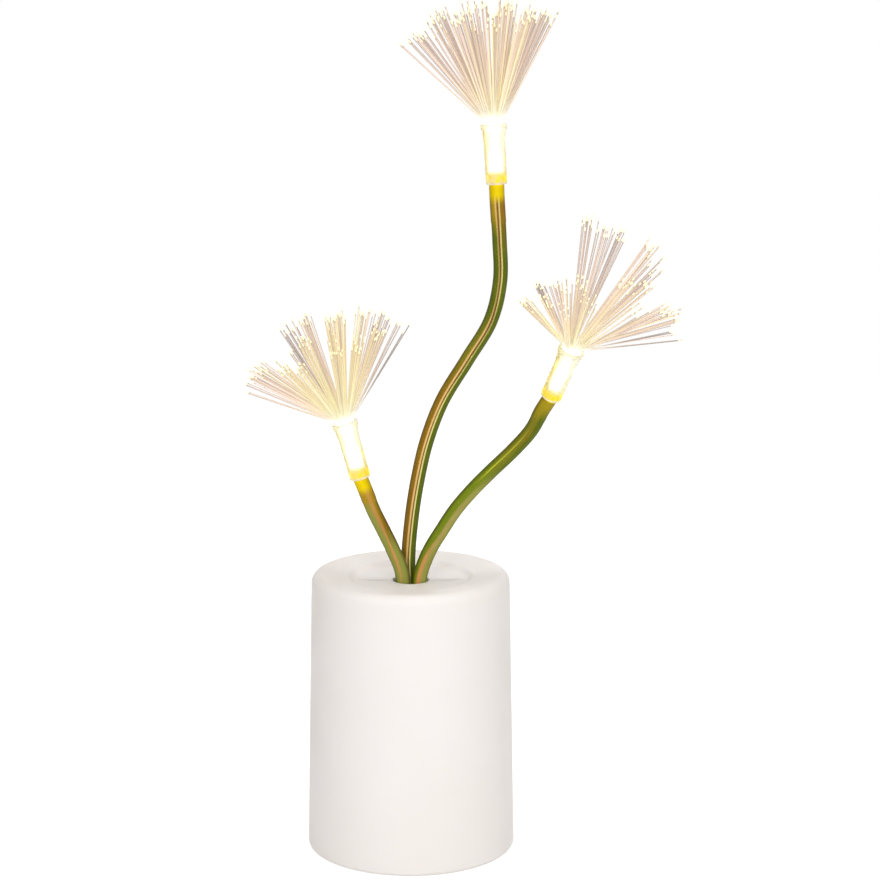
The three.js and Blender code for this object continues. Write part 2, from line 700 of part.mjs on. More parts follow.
function sprayGeometry({ length, bundleAngles, lengthShares }, headTurn, seed) {
  const scatter = scatterFrom(seed);
  const intoHead = headTurn.clone().invert();
  const strands = [];
  const addStrand = (place, offsetX, offsetY) => {
    const across = place.across + place.spread * offsetX + strandScatterDegrees * scatter();
    const front = place.front - place.spread * offsetY + strandScatterDegrees * scatter();
    const direction = fanDirection(across, front).applyQuaternion(intoHead);
    const reach = place.length * (1 - lengthScatterShare * (0.5 + 0.5 * scatter()));
    const x = place.x + strandPitch * offsetX;
    const y = place.y + strandPitch * offsetY;
    strands.push(strandGeometry(x, y, direction, reach));
  };
  bundleAngles.forEach((row, rowIndex) => row.forEach(([across, front, spread], i) => {
    const place = {
      across, front, spread, length: length * lengthShares[rowIndex][i],
      x: bundlePitch * (i - (row.length - 1) / 2),
      y: (bundlePitch * (bundleRings - rowIndex) * Math.sqrt(3)) / 2,
    };
    addStrand(place, 0, 0);
    for (let side = 1; side <= bundleSides; side += 1) {
      const angle = bundleTurn + (2 * Math.PI * side) / bundleSides;
      addStrand(place, Math.cos(angle), Math.sin(angle));
    }
  }));
  return join(turned(slugProfile, 16), ...strands);
}

// One stem from the circuit board to its spray
function addStem(name, stem, foot, seed) {
  const [footX, footY] = foot;
  const at = (x, y, z) => new THREE.Vector3(footX + x * stem.reach, footY + y * stem.forward, z);
  const coreStart = boardTop + fitGap;
  const sleeveStart = at(1, 1, floorZ + stem.rise);
  const sleeveAxis = directionOf(stem.sleeveTiltDegrees, stem.sleeveLeanDegrees);
  const way = new THREE.CatmullRomCurve3([
    at(0, 0, coreStart),
    at(0, 0, (coreStart + holderBottom) / 2),
    at(0, 0, holderBottom),
    at(0, 0, (holderBottom + floorZ) / 2),
    at(0, 0, floorZ - overrun),
    ...stem.routeShares.map(([x, y, z]) => at(x, y, floorZ + z * stem.rise)),
    sleeveStart,
    sleeveStart.clone().addScaledVector(sleeveAxis, sleeveGrip),
  ], false, "centripetal");
  way.arcLengthDivisions = 600;

  const mouth = floorZ - coreStart;
  const tubeStart = holderBottom - coreStart;
  const footEnd = mouth + footBendStart + footBendLength;
  const tubeEnd = way.getLength();
  const shrinkStart = tubeEnd - sleeveGrip - stem.heatShrink;
  const neckStart = shrinkStart - neckBendLength - fitGap;
  const outline = ring(tubeRadius, tubeSides);
  const bore = ring(tubeRadius - tubeWall, tubeSides);
  const stretchOf = (from, to) => new Stretch(way, from, to);
  const tube = (from, to) => swept(outline, bore, stretchOf(from, to), tubeStep);

  piece(`${name}_stem_foot`, tube(tubeStart, footEnd), tubeGreen);
  piece(`${name}_stem`, tube(footEnd + fitGap, neckStart), tubeGreen);
  piece(`${name}_stem_neck`, tube(neckStart + fitGap, tubeEnd), tubeGreen);

  const boreFlat = (tubeRadius - tubeWall) * Math.cos(Math.PI / tubeSides);
  const coreRadius = (boreFlat - bareGap - fitGap / 2) / 2;
  const coreShift = coreRadius + fitGap / 2;
  const coreWay = stretchOf(0, shrinkStart - fitGap);
  const copper = ring(coreRadius, coreSides, 0, stem.copperSide * coreShift);
  const green = ring(coreRadius, coreSides, 0, -stem.copperSide * coreShift);
  piece(`${name}_copper_core`, swept(copper, null, coreWay, coreStep), copperBrown);
  piece(`${name}_green_core`, swept(green, null, coreWay, coreStep), leafGreen);
  const shrink = ring(tubeRadius - tubeWall - fitGap, tubeSides);
  piece(`${name}_heat_shrink`, swept(shrink, null, stretchOf(shrinkStart, tubeEnd), tubeStep), amberShrink);

  const head = new THREE.Group();
  head.position.copy(sleeveStart);
  head.quaternion.copy(standAlong(sleeveAxis));
  lamp.add(head);
  piece(`${name}_sleeve`, turned(sleeveProfile, 20), clearPlastic, head);
  piece(`${name}_led`, turned(ledProfile, 14), litWhite, head);
  piece(`${name}_fibres`, sprayGeometry(sprays[name], head.quaternion, seed), fibre, head);
}
Object.entries(stems).forEach(([name, stem], i) => addStem(name, stem, feet[i], 11 + i));

export default lamp;
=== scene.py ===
"""Looks of the fiber optic lamp: drum base, three bendable stems and three lit fibre heads.

Metres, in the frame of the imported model. Sizes are written in millimetres and scaled by MM.
"""

import json
import math
import random

import bpy
import numpy as np
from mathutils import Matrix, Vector


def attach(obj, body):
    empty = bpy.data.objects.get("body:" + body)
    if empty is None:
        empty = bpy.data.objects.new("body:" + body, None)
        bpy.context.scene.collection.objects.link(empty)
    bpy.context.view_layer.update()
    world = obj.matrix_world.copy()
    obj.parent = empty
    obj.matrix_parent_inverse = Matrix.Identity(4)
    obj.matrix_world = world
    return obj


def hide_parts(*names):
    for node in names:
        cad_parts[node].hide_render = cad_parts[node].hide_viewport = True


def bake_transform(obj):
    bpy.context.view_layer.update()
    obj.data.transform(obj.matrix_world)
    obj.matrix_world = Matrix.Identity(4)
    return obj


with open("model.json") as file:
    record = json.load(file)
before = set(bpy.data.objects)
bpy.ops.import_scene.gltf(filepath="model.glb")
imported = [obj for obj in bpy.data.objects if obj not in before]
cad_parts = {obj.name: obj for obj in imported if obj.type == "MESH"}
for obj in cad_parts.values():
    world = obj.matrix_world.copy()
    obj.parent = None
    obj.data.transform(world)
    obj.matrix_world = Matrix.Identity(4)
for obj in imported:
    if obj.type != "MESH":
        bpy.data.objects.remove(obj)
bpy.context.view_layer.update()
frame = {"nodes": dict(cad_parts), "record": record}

MM = 0.001

# Base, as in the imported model
FOOT_RADIUS = 37.5
TOP_RADIUS = 35.6
BASE_HEIGHT = 101.8
TOP_ROUND = 3.5
FOOT_ROUND = 2.0
WALL = 2.6
DISH_RADIUS = 21.7
DISH_DEPTH = 2.8
HOLE_RADIUS = 6.39
FLOOR_Z = BASE_HEIGHT - DISH_DEPTH
CEILING_Z = FLOOR_Z - WALL
CREST_RADIUS = TOP_RADIUS - TOP_ROUND

# Stems and heads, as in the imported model
TUBE_RADIUS = 2.6
CORE_RADIUS = 0.8
CORE_SHIFT = 0.95
HOLDER_BOTTOM = 86.5
CORE_START = 80.4
FOOT_BEND = (2.0, 10.0)
NECK_BEND = 9.0
FIT_GAP = 0.3
SLEEVE_LENGTH = 21.2
SLEEVE_GRIP = 4.0
SLEEVE_RADIUS = 3.75
SLEEVE_WALL = 0.65
LIP_RADIUS = 4.6
LIP_HEIGHT = 2.2
MOUTH_RADIUS = 3.5
LED_RADIUS = 2.45
LED_FLANGE = 0.35
LED_LENGTH = 8.6
FIBRE_RADIUS = 0.2
SLUG_RISE = 0.5

# Each stem: its foot in the hole, where its sleeve starts from there, how much of the film over
# its joint shows below the sleeve, how its head tilts to the right and leans to the front (in
# degrees), and its route in shares of the way to the sleeve.
STEMS = {
    "left": dict(
        foot=(-2.7, -1.9), span=(-15, -6.1, 39.3), shrink=9.6, tilt=-15, lean=4,
        route=[(0.04, 0.04, 0.1), (0.24, 0.18, 0.3), (0.465, 0.37, 0.49), (0.7, 0.59, 0.685),
               (0.885, 0.83, 0.88)],
    ),
    "middle": dict(
        foot=(-0.5, 3.3), span=(30.9, 1.7, 141.8), shrink=13.8, tilt=-3, lean=0,
        route=[(-0.012, 0.01, 0.045), (0.027, 0.07, 0.15), (0.098, 0.145, 0.252),
               (0.208, 0.235, 0.355), (0.387, 0.334, 0.457), (0.668, 0.443, 0.559),
               (0.94, 0.56, 0.66), (1.045, 0.68, 0.76), (1.036, 0.81, 0.861), (1.008, 0.945, 0.96)],
    ),
    "right": dict(
        foot=(3.04, -1.9), span=(45.8, -18.1, 70.8), shrink=10, tilt=20, lean=25,
        route=[(0.02, 0.018, 0.057), (0.083, 0.08, 0.165), (0.178, 0.163, 0.274),
               (0.28, 0.261, 0.383), (0.411, 0.371, 0.492), (0.563, 0.491, 0.601),
               (0.723, 0.619, 0.71), (0.857, 0.756, 0.819), (0.937, 0.899, 0.927)],
    ),
}

# Mesh of the drum: the soft step at the rim of the dish, and the eased edge of the hole as
# (distance from its wall, depth below the floor)
SLOPE_END = DISH_RADIUS + 0.8
STEP_END = DISH_RADIUS - 1.2
SHELF = DISH_DEPTH * 0.42
DRUM_SIDES = 240
WALL_STEPS = 30
DISH_STEPS = 60
HOLE_EASE = 0.35
HOLE_EDGE = [(0.1, 0.08), (0.0, 0.3)]

# Marks of the moulding, in scene.py alone: the crease across the dish's floor, the range of the
# painted shade along it (in metres), and the ripples as (x, y, half width in x, half width in y,
# height)
CREASE_HALF = 1.1
CREASE_ENDS = 0.35
CREASE_DEPTH = 0.34
CREASE_LENGTH = DISH_RADIUS - 3.0 - HOLE_RADIUS
CREASE_SHADE_FADE_IN = (0.0066, 0.01)
CREASE_SHADE_FADE_OUT = (0.015, 0.0195)
CREASE_SHADE_SIDES = (0.0002, 0.0015)
CREASE_SHADE_TOP = (0.0975, 0.098)
RIPPLES = [(-12.5, 25.5, 3.4, 1.0, 0.12), (13.0, 26.0, 5.0, 1.1, 0.14), (17.0, 24.5, 3.0, 0.9, 0.1)]

# Band round the battery cells, by height in metres, and the weave of the circuit board
CELL_BAND_LOW = (0.0335, 0.0338)
CELL_BAND_HIGH = (0.041, 0.0413)
WEAVE = 9000.0

# Meshes of the stems: the two lengths of each tube overlap, the lower one a hair thinner. They keep
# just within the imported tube, and swell under the film over the joint.
TUBE_LAP = 0.8
LAP_STEP = 0.01
TUBE_SHORT = 0.2
SKIN = 0.02
TUBE_SIDES = 32
TUBE_STEPS = (1.2, 1.0)
FILM_SWELL = 0.12
CORE_SIDES = 12
CORE_STEP = 2.5

# Looks of the stems
STEM_REACH = 150.0
# The umber tone is painted shade between the two conductors; the cream, pale and gold tones are
# painted highlights
STEM_TONES = {
    "olive": (150, 153, 72),
    "leaf": (118, 136, 28),
    "moss": (94, 108, 20),
    "brown": (140, 106, 26),
    "drab": (124, 124, 32),
    "ochre": (168, 146, 26),
    "copper": (208, 149, 88),
    "khaki": (178, 158, 92),
    "umber": (118, 82, 38),
    "cream": (237, 194, 124),
    "pale": (240, 226, 150),
    "gold_highlight": (206, 198, 58),
}

# Each stem: the length that its head lights (mm), how amber the film over its joint is, the tones
# of its left and right side by distance from the hole's mouth (mm), and its strips: what shows of
# the conductors, painted highlights and painted shade between the conductors. A strip has a tone
# and a track of (distance, place across from 0 left to 1 right, half its width, strength).
STEM_LOOKS = {
    "left": dict(
        glow=6.5, amber=0.35,
        left=[(0, "olive"), (28, "olive"), (36, "ochre")],
        right=[(0, "olive"), (13, "olive"), (22, "brown"), (36, "ochre")],
        strips=[("copper", [(0, 0.38, 0.1, 0.4), (10, 0.47, 0.15, 1), (18, 0.54, 0.08, 0.9),
                            (24, 0.6, 0.18, 0.6), (36, 0.6, 0.22, 0.8)])],
    ),
    "middle": dict(
        glow=7.5, amber=0.15,
        left=[(0, "moss"), (12, "brown"), (66, "brown"), (90, "drab"), (106, "moss"), (130, "moss"),
              (139, "ochre")],
        right=[(0, "moss"), (124, "moss"), (138, "brown")],
        strips=[
            ("copper", [(0, 0.38, 0.1, 0.9), (70, 0.4, 0.1, 0.8), (96, 0.38, 0.1, 0.3),
                        (102, 0.38, 0.1, 0)]),
            # Painted shade between the conductors, and painted highlights on either side of it
            ("umber", [(0, 0.5, 0.07, 0.5), (18, 0.5, 0.07, 1), (78, 0.52, 0.09, 0.7),
                       (100, 0.52, 0.1, 1), (134, 0.48, 0.1, 1)]),
            ("cream", [(0, 0.4, 0.08, 1), (96, 0.41, 0.07, 0.9), (108, 0.4, 0.06, 0.5),
                       (130, 0.37, 0.06, 0.5), (139, 0.35, 0.08, 0.9)]),
            ("pale", [(0, 0.6, 0.07, 1), (64, 0.59, 0.07, 0.95), (78, 0.62, 0.06, 0.6),
                      (100, 0.62, 0.06, 0.45), (110, 0.59, 0.07, 0.8)]),
        ],
    ),
    "right": dict(
        glow=1.4, amber=0.0,
        left=[(0, "leaf"), (50, "leaf"), (62, "drab"), (76, "drab"), (84, "ochre")],
        right=[(0, "olive"), (42, "olive"), (56, "moss"), (78, "moss"), (84, "ochre")],
        strips=[
            ("khaki", [(6, 0.56, 0.1, 0.4), (16, 0.56, 0.2, 0.9), (32, 0.6, 0.24, 0.6),
                       (44, 0.6, 0.24, 0)]),
            ("copper", [(0, 0.38, 0.2, 1), (10, 0.39, 0.16, 1), (19, 0.44, 0.1, 0)]),
            ("drab", [(44, 0.5, 0.2, 0), (56, 0.5, 0.24, 0.8), (66, 0.45, 0.24, 0)]),
            ("brown", [(62, 0.45, 0.2, 0), (70, 0.42, 0.24, 0.5), (80, 0.4, 0.24, 0)]),
            # Painted highlight near the stem's left edge
            ("gold_highlight", [(44, 0.25, 0.05, 0), (52, 0.25, 0.05, 1), (66, 0.27, 0.05, 0.7),
                      (75, 0.27, 0.05, 0)]),
        ],
    ),
}

# Mesh of a sleeve, and for each sleeve how strongly the LED's light is painted yellow on its grip,
# and how unevenly that painted yellow runs round it
EASE = 0.15
FOOT_EASE = 0.25
FLARE_STEPS = 5
RINGS = {"left": (0.95, 0.25), "middle": (0.95, 0.5), "right": (1.0, 0.1)}

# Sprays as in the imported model, in rows from the back to the front: degrees to the right of
# upright, degrees to the front, degrees of spread, share of the spray's length, and tint from grey
# to yellow.
SPRAY_LEAN = 12
SPRAYS = {
    "left": dict(length=42, seed=11, rows=[
        [(-34, -36, 3, 0.96, 0.4), (-8, -38, 3.4, 0.98, 0.8), (19, -36, 3.4, 0.98, 0.6)],
        [(-62, -12, 3, 0.9, 0.45), (-30.5, -12, 4, 1, 0.2), (-4, -12, 2.8, 0.97, 0.85),
         (17, -8, 3.6, 0.98, 0.2)],
        [(-67, 8, 4.5, 0.88, 0.4), (-56.5, 8, 4, 0.9, 0.72), (-21, 5, 3, 1, 0.6),
         (8.5, 4, 3.2, 1, 0.8), (26.5, 0, 5.2, 0.95, 0.15)],
        [(-45, 44, 3, 0.92, 0.95), (-24.5, 38, 3, 0.98, 1), (-8, 16, 3, 0.97, 0.9),
         (19.5, 34, 3.2, 0.97, 0.7)],
        [(-35, 54, 3.6, 0.96, 0.95), (-5, 46, 4, 0.9, 0.9), (9, 44, 3.6, 0.95, 0.9)],
    ]),
    "middle": dict(length=45, seed=12, rows=[
        [(-27, -28, 3, 0.97, 0.45), (-9, -30, 3, 0.98, 0.45), (13, -28, 3, 0.98, 0.45)],
        [(-37.5, -8, 3, 0.95, 0.38), (-15, -13, 2.4, 0.98, 0.5), (2.5, -12, 2.4, 0.97, 0.55),
         (22, -10, 2.4, 0.98, 0.45)],
        [(-44, 4, 4.4, 0.96, 0.3), (-24, 5, 2.6, 0.99, 0.38), (-5.5, 5, 2.2, 0.97, 0.55),
         (7, 3, 2.4, 0.97, 0.6), (25, 4, 2.6, 0.98, 0.42)],
        [(-30, 20, 2.8, 1, 0.55), (-12.5, 20, 2.4, 1, 0.6), (4.5, 20, 2.6, 1, 0.7),
         (16, 18, 2.4, 1, 0.65)],
        [(-20, 36, 3.2, 1, 0.6), (-1, 38, 3.2, 0.98, 0.7), (14, 34, 3, 0.98, 0.7)],
    ]),
    "right": dict(length=48, seed=13, rows=[
        [(-12, -34, 3.4, 0.58, 0.5), (24, -14, 2.6, 0.97, 0.15), (46, -22, 3.4, 1, 0.3)],
        [(-25, -5, 3.2, 0.52, 0.12), (7.5, 6, 1.8, 0.98, 0.25), (38, 4, 2.4, 0.97, 0.5),
         (72, 8, 3, 0.82, 0.65)],
        [(-46, 44, 4, 0.62, 0.7), (-6, 48, 4.4, 0.66, 0.7), (14.5, 16, 3, 0.98, 0.45),
         (48, 32, 3, 0.82, 0.7), (80, 15, 5.6, 0.76, 0.15)],
        [(-29, 54, 3.4, 0.68, 0.65), (6, 54, 4, 0.8, 0.8), (38, 46, 4, 0.86, 0.7),
         (65, 28, 3, 0.8, 0.55)],
        [(-14, 66, 5, 0.72, 0.8), (18, 64, 4.6, 0.8, 0.8), (56, 52, 4.4, 0.86, 0.9)],
    ]),
}
BUNDLE_RINGS = 2
BUNDLE_SIDES = 6
ANGLE_SCATTER = 0.5
LENGTH_SCATTER = 0.1
TINT_SCATTER = 0.25

# Finer strands, in scene.py alone: how many a bundle gets, how far they stray to the front or back
# (degrees), how near the bundle's middle they start, their length and its scatter, the share of the
# spray's length up to which they don't stray, and the spread from which a bundle gets none
EXTRA_STRANDS = 5
EXTRA_DRIFT = 8.0
EXTRA_NEAREST = 0.35
EXTRA_LENGTH = 0.985
EXTRA_SCATTER = 0.12
SHORT_SHARE = 0.6
SPARSE_SPREAD = 4.2

# Mesh of a strand: its sides, the length of its lit bulb in radii, how far it stops short of the
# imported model's length, and how far its tip sways
STRAND_SIDES = 6
TIP_RADII = 2.2
TIP_SHORT = 0.25
SWAY = 0.12

# Room, lamps and camera
FLOOR_HALF = 6.0
FLOOR_WHITE = 0.62
FLOOR_FADE = (0.5, 1.0)
AMBIENT = 0.35
SKY_COLOUR = (1.0, 0.955, 0.92)
# Each lamp: its name, place (m), size (m) and power (W)
LIGHTS = [
    ("key_left", (-0.43, -1.18, 0.42), 0.35, 3.65),
    ("key_right", (0.43, -1.18, 0.42), 0.35, 4.1),
    ("side_right", (1.25, 0.0, 0.3), 0.4, 0.9),
    ("back", (0.1, 1.2, 0.6), 1.0, 1.5),
    ("top", (0.0, 0.05, 1.3), 0.9, 7.1),
]
LIGHT_COLOUR = (0.97, 0.99, 1.0)
AIM = (0.0, 0.0, 0.13)
CAMERA_PLACE = (0.0, -1.0, 0.3637)
CAMERA_PITCH = 12.055
CAMERA_YAW = 0.603
FOCAL_PIXELS = 2877.7
PHOTO_PIXELS = 880
SENSOR = 36.0
CLIP = (0.05, 20.0)


# Node helpers

class Nodes:
    """The node tree of a material, or of another owner, with short ways to add and link nodes."""

    def __init__(self, name, owners=bpy.data.materials, output="ShaderNodeOutputMaterial"):
        self.owner = owners.new(name)
        self.owner.use_nodes = True
        self.tree = self.owner.node_tree
        self.tree.nodes.clear()
        self.out = self.tree.nodes.new(output)

    def add(self, kind, **inputs):
        node = self.tree.nodes.new(kind)
        for key, value in inputs.items():
            self.put(node, key.replace("_", " "), value)
        return node

    def put(self, node, socket, value):
        """Link a socket's output, or set a plain value, at a named or numbered input."""
        target = node.inputs[socket]
        if isinstance(value, bpy.types.NodeSocket):
            self.tree.links.new(value, target)
        else:
            target.default_value = value

    def math(self, operation, *values):
        node = self.tree.nodes.new("ShaderNodeMath")
        node.operation = operation
        for i, value in enumerate(values):
            self.put(node, i, value)
        return node.outputs[0]

    def times(self, first, *others):
        for other in others:
            first = self.math("MULTIPLY", first, other)
        return first

    def smooth(self, value, low, high, to_low=0.0, to_high=1.0):
        """A soft change from to_low to to_high as value goes from low to high."""
        node = self.tree.nodes.new("ShaderNodeMapRange")
        node.interpolation_type = "SMOOTHSTEP"
        for i, item in enumerate((value, low, high, to_low, to_high)):
            self.put(node, i, item)
        return node.outputs[0]

    def band(self, value, rise, fall):
        """One between a soft rise and a soft fall, each from a start to an end."""
        return self.times(self.smooth(value, *rise), self.smooth(value, *fall, 1.0, 0.0))

    def ramp(self, value, stops):
        node = self.tree.nodes.new("ShaderNodeValToRGB")
        self.put(node, 0, value)
        elements = node.color_ramp.elements
        for element, (place, colour) in zip(elements, (stops[0], stops[-1])):
            element.position = place
            element.color = rgba(colour)
        for place, colour in stops[1:-1]:
            elements.new(place).color = rgba(colour)
        return node.outputs[0]

    def mix(self, share, first, second, mode="MIX"):
        node = self.tree.nodes.new("ShaderNodeMix")
        node.data_type = "RGBA"
        node.blend_type = mode
        for i, item in zip((0, 6, 7), (share, first, second)):
            self.put(node, i, rgba(item) if isinstance(item, tuple) else item)
        return node.outputs[2]

    def noise(self, scale, detail=2.0, vector=None):
        node = self.add("ShaderNodeTexNoise", Scale=scale, Detail=detail)
        if vector is not None:
            self.put(node, "Vector", vector)
        return node.outputs["Fac"]

    def object_place(self, stretch=(1, 1, 1)):
        place = self.add("ShaderNodeTexCoord").outputs["Object"]
        return self.add("ShaderNodeMapping", Vector=place, Scale=stretch).outputs[0]

    def uv(self, name):
        node = self.add("ShaderNodeUVMap")
        node.uv_map = name
        return self.split(node.outputs[0])[:2]

    def split(self, vector):
        return list(self.add("ShaderNodeSeparateXYZ", Vector=vector).outputs)

    def join(self, x=0.0, y=0.0, z=0.0):
        return self.add("ShaderNodeCombineXYZ", X=x, Y=y, Z=z).outputs[0]

    def length(self, vector):
        node = self.add("ShaderNodeVectorMath", Vector=vector)
        node.operation = "LENGTH"
        return node.outputs["Value"]

    def ray(self, kind):
        return self.add("ShaderNodeLightPath").outputs[f"Is {kind} Ray"]

    def seen(self):
        """One for the rays that show a surface to the camera, also by way of gloss or glass."""
        direct = self.math("MAXIMUM", self.ray("Camera"), self.ray("Glossy"))
        return self.math("MAXIMUM", direct, self.ray("Transmission"))

    def bump(self, height, strength, distance):
        node = self.add("ShaderNodeBump", Height=height, Strength=strength, Distance=distance)
        return node.outputs[0]

    def finish(self, **inputs):
        """End in a Principled shader and return the material."""
        return self.surface(self.add("ShaderNodeBsdfPrincipled", **inputs))

    def surface(self, shader):
        self.put(self.out, "Surface", shader.outputs[0])
        return self.owner


def linear(value):
    """The linear share of an sRGB share."""
    return value / 12.92 if value <= 0.04045 else ((value + 0.055) / 1.055) ** 2.4


def rgba(colour):
    """A colour given as 0 to 255 in sRGB, or as a share tuple already linear."""
    if max(colour) > 1:
        return tuple(linear(c / 255) for c in colour[:3]) + (1.0,)
    return tuple(colour[:3]) + (1.0,)


# Materials

def plastic(name, colour, shade, roughness, grain=2200, depth=0.02, wear=0.06, coat=0.0):
    """Moulded plastic: a slow change of colour, a fine grain and uneven gloss."""
    n = Nodes(name)
    place = n.object_place()
    slow = n.noise(35, 3, place)
    fine = n.noise(grain, 2, place)
    tone = n.mix(n.smooth(slow, 0.35, 0.65), colour, shade)
    gloss = n.smooth(n.noise(120, 3, place), 0.3, 0.7, roughness - wear, roughness + wear)
    return n.finish(Base_Color=tone, Roughness=gloss, Normal=n.bump(fine, depth, 0.0004),
                    Coat_Weight=coat, Coat_Roughness=0.12)


def metal(name, colour, shade, roughness, stretch=(1, 1, 14)):
    """Drawn or rolled metal with fine lines."""
    n = Nodes(name)
    lines = n.noise(900, 3, n.object_place(stretch))
    tone = n.mix(n.smooth(lines, 0.3, 0.7), colour, shade)
    gloss = n.smooth(lines, 0.2, 0.8, roughness - 0.08, roughness + 0.08)
    return n.finish(Base_Color=tone, Metallic=1.0, Roughness=gloss,
                    Normal=n.bump(lines, 0.05, 0.0002))


def white_drum():
    """Waxy white plastic of the drum, a little rough, with faint warm clouds, and painted shade
    along the crease in its dish.
    """
    n = Nodes("drum_white")
    place = n.object_place()
    clouds = n.smooth(n.noise(16, 3, place), 0.3, 0.7)
    tone = n.mix(clouds, (250, 244, 241), (247, 241, 236))
    x, y, z = n.split(place)
    radius = n.length(n.join(x, y))
    # Painted shade: a pinkish grey darkening along the crease across the dish's floor
    crease = n.times(n.band(radius, CREASE_SHADE_FADE_IN, CREASE_SHADE_FADE_OUT),
                     n.smooth(n.math("ABSOLUTE", y), *CREASE_SHADE_SIDES, 0.6, 0.0),
                     n.smooth(z, *CREASE_SHADE_TOP))
    tone = n.mix(crease, tone, (214, 202, 200))
    fine = n.noise(1500, 3, place)
    soft = n.noise(60, 2, place)
    height = n.math("ADD", fine, n.times(soft, 1.5))
    gloss = n.smooth(soft, 0.3, 0.7, 0.44, 0.56)
    return n.finish(Base_Color=tone, Roughness=gloss, Normal=n.bump(height, 0.06, 0.0003),
                    Specular_IOR_Level=0.2, Subsurface_Weight=0.12,
                    Subsurface_Radius=(0.004, 0.003, 0.002), Subsurface_Scale=1.0)


def cell_material():
    """Battery jacket: dark shrink film with a lighter band round it."""
    n = Nodes("cell_film")
    place = n.object_place()
    band = n.band(n.split(place)[2], CELL_BAND_LOW, CELL_BAND_HIGH)
    film = n.mix(band, (46, 52, 60), (186, 138, 70))
    fine = n.noise(700, 2, place)
    return n.finish(Base_Color=n.mix(n.times(fine, 0.25), film, (120, 120, 124)),
                    Roughness=0.3, Coat_Weight=0.4, Coat_Roughness=0.1,
                    Normal=n.bump(fine, 0.03, 0.0002))


def board_material():
    """Circuit board: green lacquer over glass weave, with copper tracks that show through."""
    n = Nodes("board_lacquer")
    place = n.object_place()
    warp, weft = (n.math("SINE", n.times(side, WEAVE)) for side in n.split(place)[:2])
    weave = n.times(warp, weft)
    cells = n.add("ShaderNodeTexVoronoi", Vector=place, Scale=260.0)
    cells.distance = "CHEBYCHEV"
    track = n.smooth(cells.outputs["Distance"], 0.42, 0.46)
    tone = n.mix(track, (26, 98, 54), (58, 138, 74))
    return n.finish(Base_Color=tone, Roughness=0.38, Coat_Weight=0.5, Coat_Roughness=0.15,
                    Normal=n.bump(n.math("ADD", weave, track), 0.05, 0.0002))


def stem_material(name, way):
    """Glossy tube over a copper and a green conductor.

    The tube has a left and a right side, painted shade towards its edges, and strips that wander
    along it: what shows of the conductors, painted highlights along them and a painted shade line
    between them. Film covers the joint, and the head lights the tube's end.
    """
    look = STEM_LOOKS[name]
    sleeve = way.end - SLEEVE_GRIP
    n = Nodes(f"{name}_tube")
    around, along = n.uv("tube")
    angle = n.times(around, 2 * math.pi)
    across = n.math("ADD", n.times(n.math("SINE", angle), 0.5), 0.5)
    height = n.math("DIVIDE", n.math("SUBTRACT", along, way.mouth), STEM_REACH)
    sides = [n.ramp(height, [(distance / STEM_REACH, STEM_TONES[colour])
                             for distance, colour in look[side]]) for side in ("left", "right")]
    tone = n.mix(n.smooth(across, 0.4, 0.6), *sides)
    for colour, track in look["strips"]:
        wander = n.ramp(height, [(distance / STEM_REACH, place) for distance, *place in track])
        place, half, share = n.split(wander)
        away = n.math("ABSOLUTE", n.math("SUBTRACT", across, place))
        strip = n.smooth(away, n.times(half, 0.4), half, 1.0, 0.0)
        tone = n.mix(n.times(strip, share), tone, STEM_TONES[colour])
    # Painted shade: the tube darker towards its left and right edges
    edge = n.smooth(n.math("ABSOLUTE", n.math("SINE", angle)), 0.66, 1.0)
    tone = n.mix(edge, tone, (0.5, 0.48, 0.2), "MULTIPLY")
    film = n.smooth(along, way.shrink - 0.3, way.shrink + 0.3, 0.0, look["amber"])
    tone = n.mix(film, tone, (196, 140, 30))
    slow = n.noise(0.12, 1, n.join(n.times(across, 0.4), along))
    tone = n.mix(n.smooth(slow, 0.4, 0.7, 0.0, 0.12), tone, (150, 140, 50))
    lit = n.smooth(along, sleeve - look["glow"], sleeve - 0.4 * look["glow"])
    middle = n.ramp(across, [(0.0, (196, 168, 0)), (0.2, (228, 198, 2)), (0.5, (242, 214, 12)),
                             (0.8, (230, 200, 2)), (1.0, (184, 158, 0))])
    tone = n.mix(lit, tone, middle)
    glow = n.times(lit, 0.06)
    return n.finish(Base_Color=tone, Roughness=n.smooth(slow, 0.3, 0.7, 0.3, 0.36),
                    Specular_IOR_Level=0.06, Emission_Color=middle, Emission_Strength=glow)


def core_material(name, colour, shade):
    """Coloured insulation of a conductor, slightly uneven."""
    n = Nodes(name)
    around, along = n.uv("tube")
    twist = n.noise(0.8, 3, n.join(n.times(around, 2.0), along))
    return n.finish(Base_Color=n.mix(n.smooth(twist, 0.3, 0.7), colour, shade), Roughness=0.35,
                    Normal=n.bump(twist, 0.1, 0.0002))


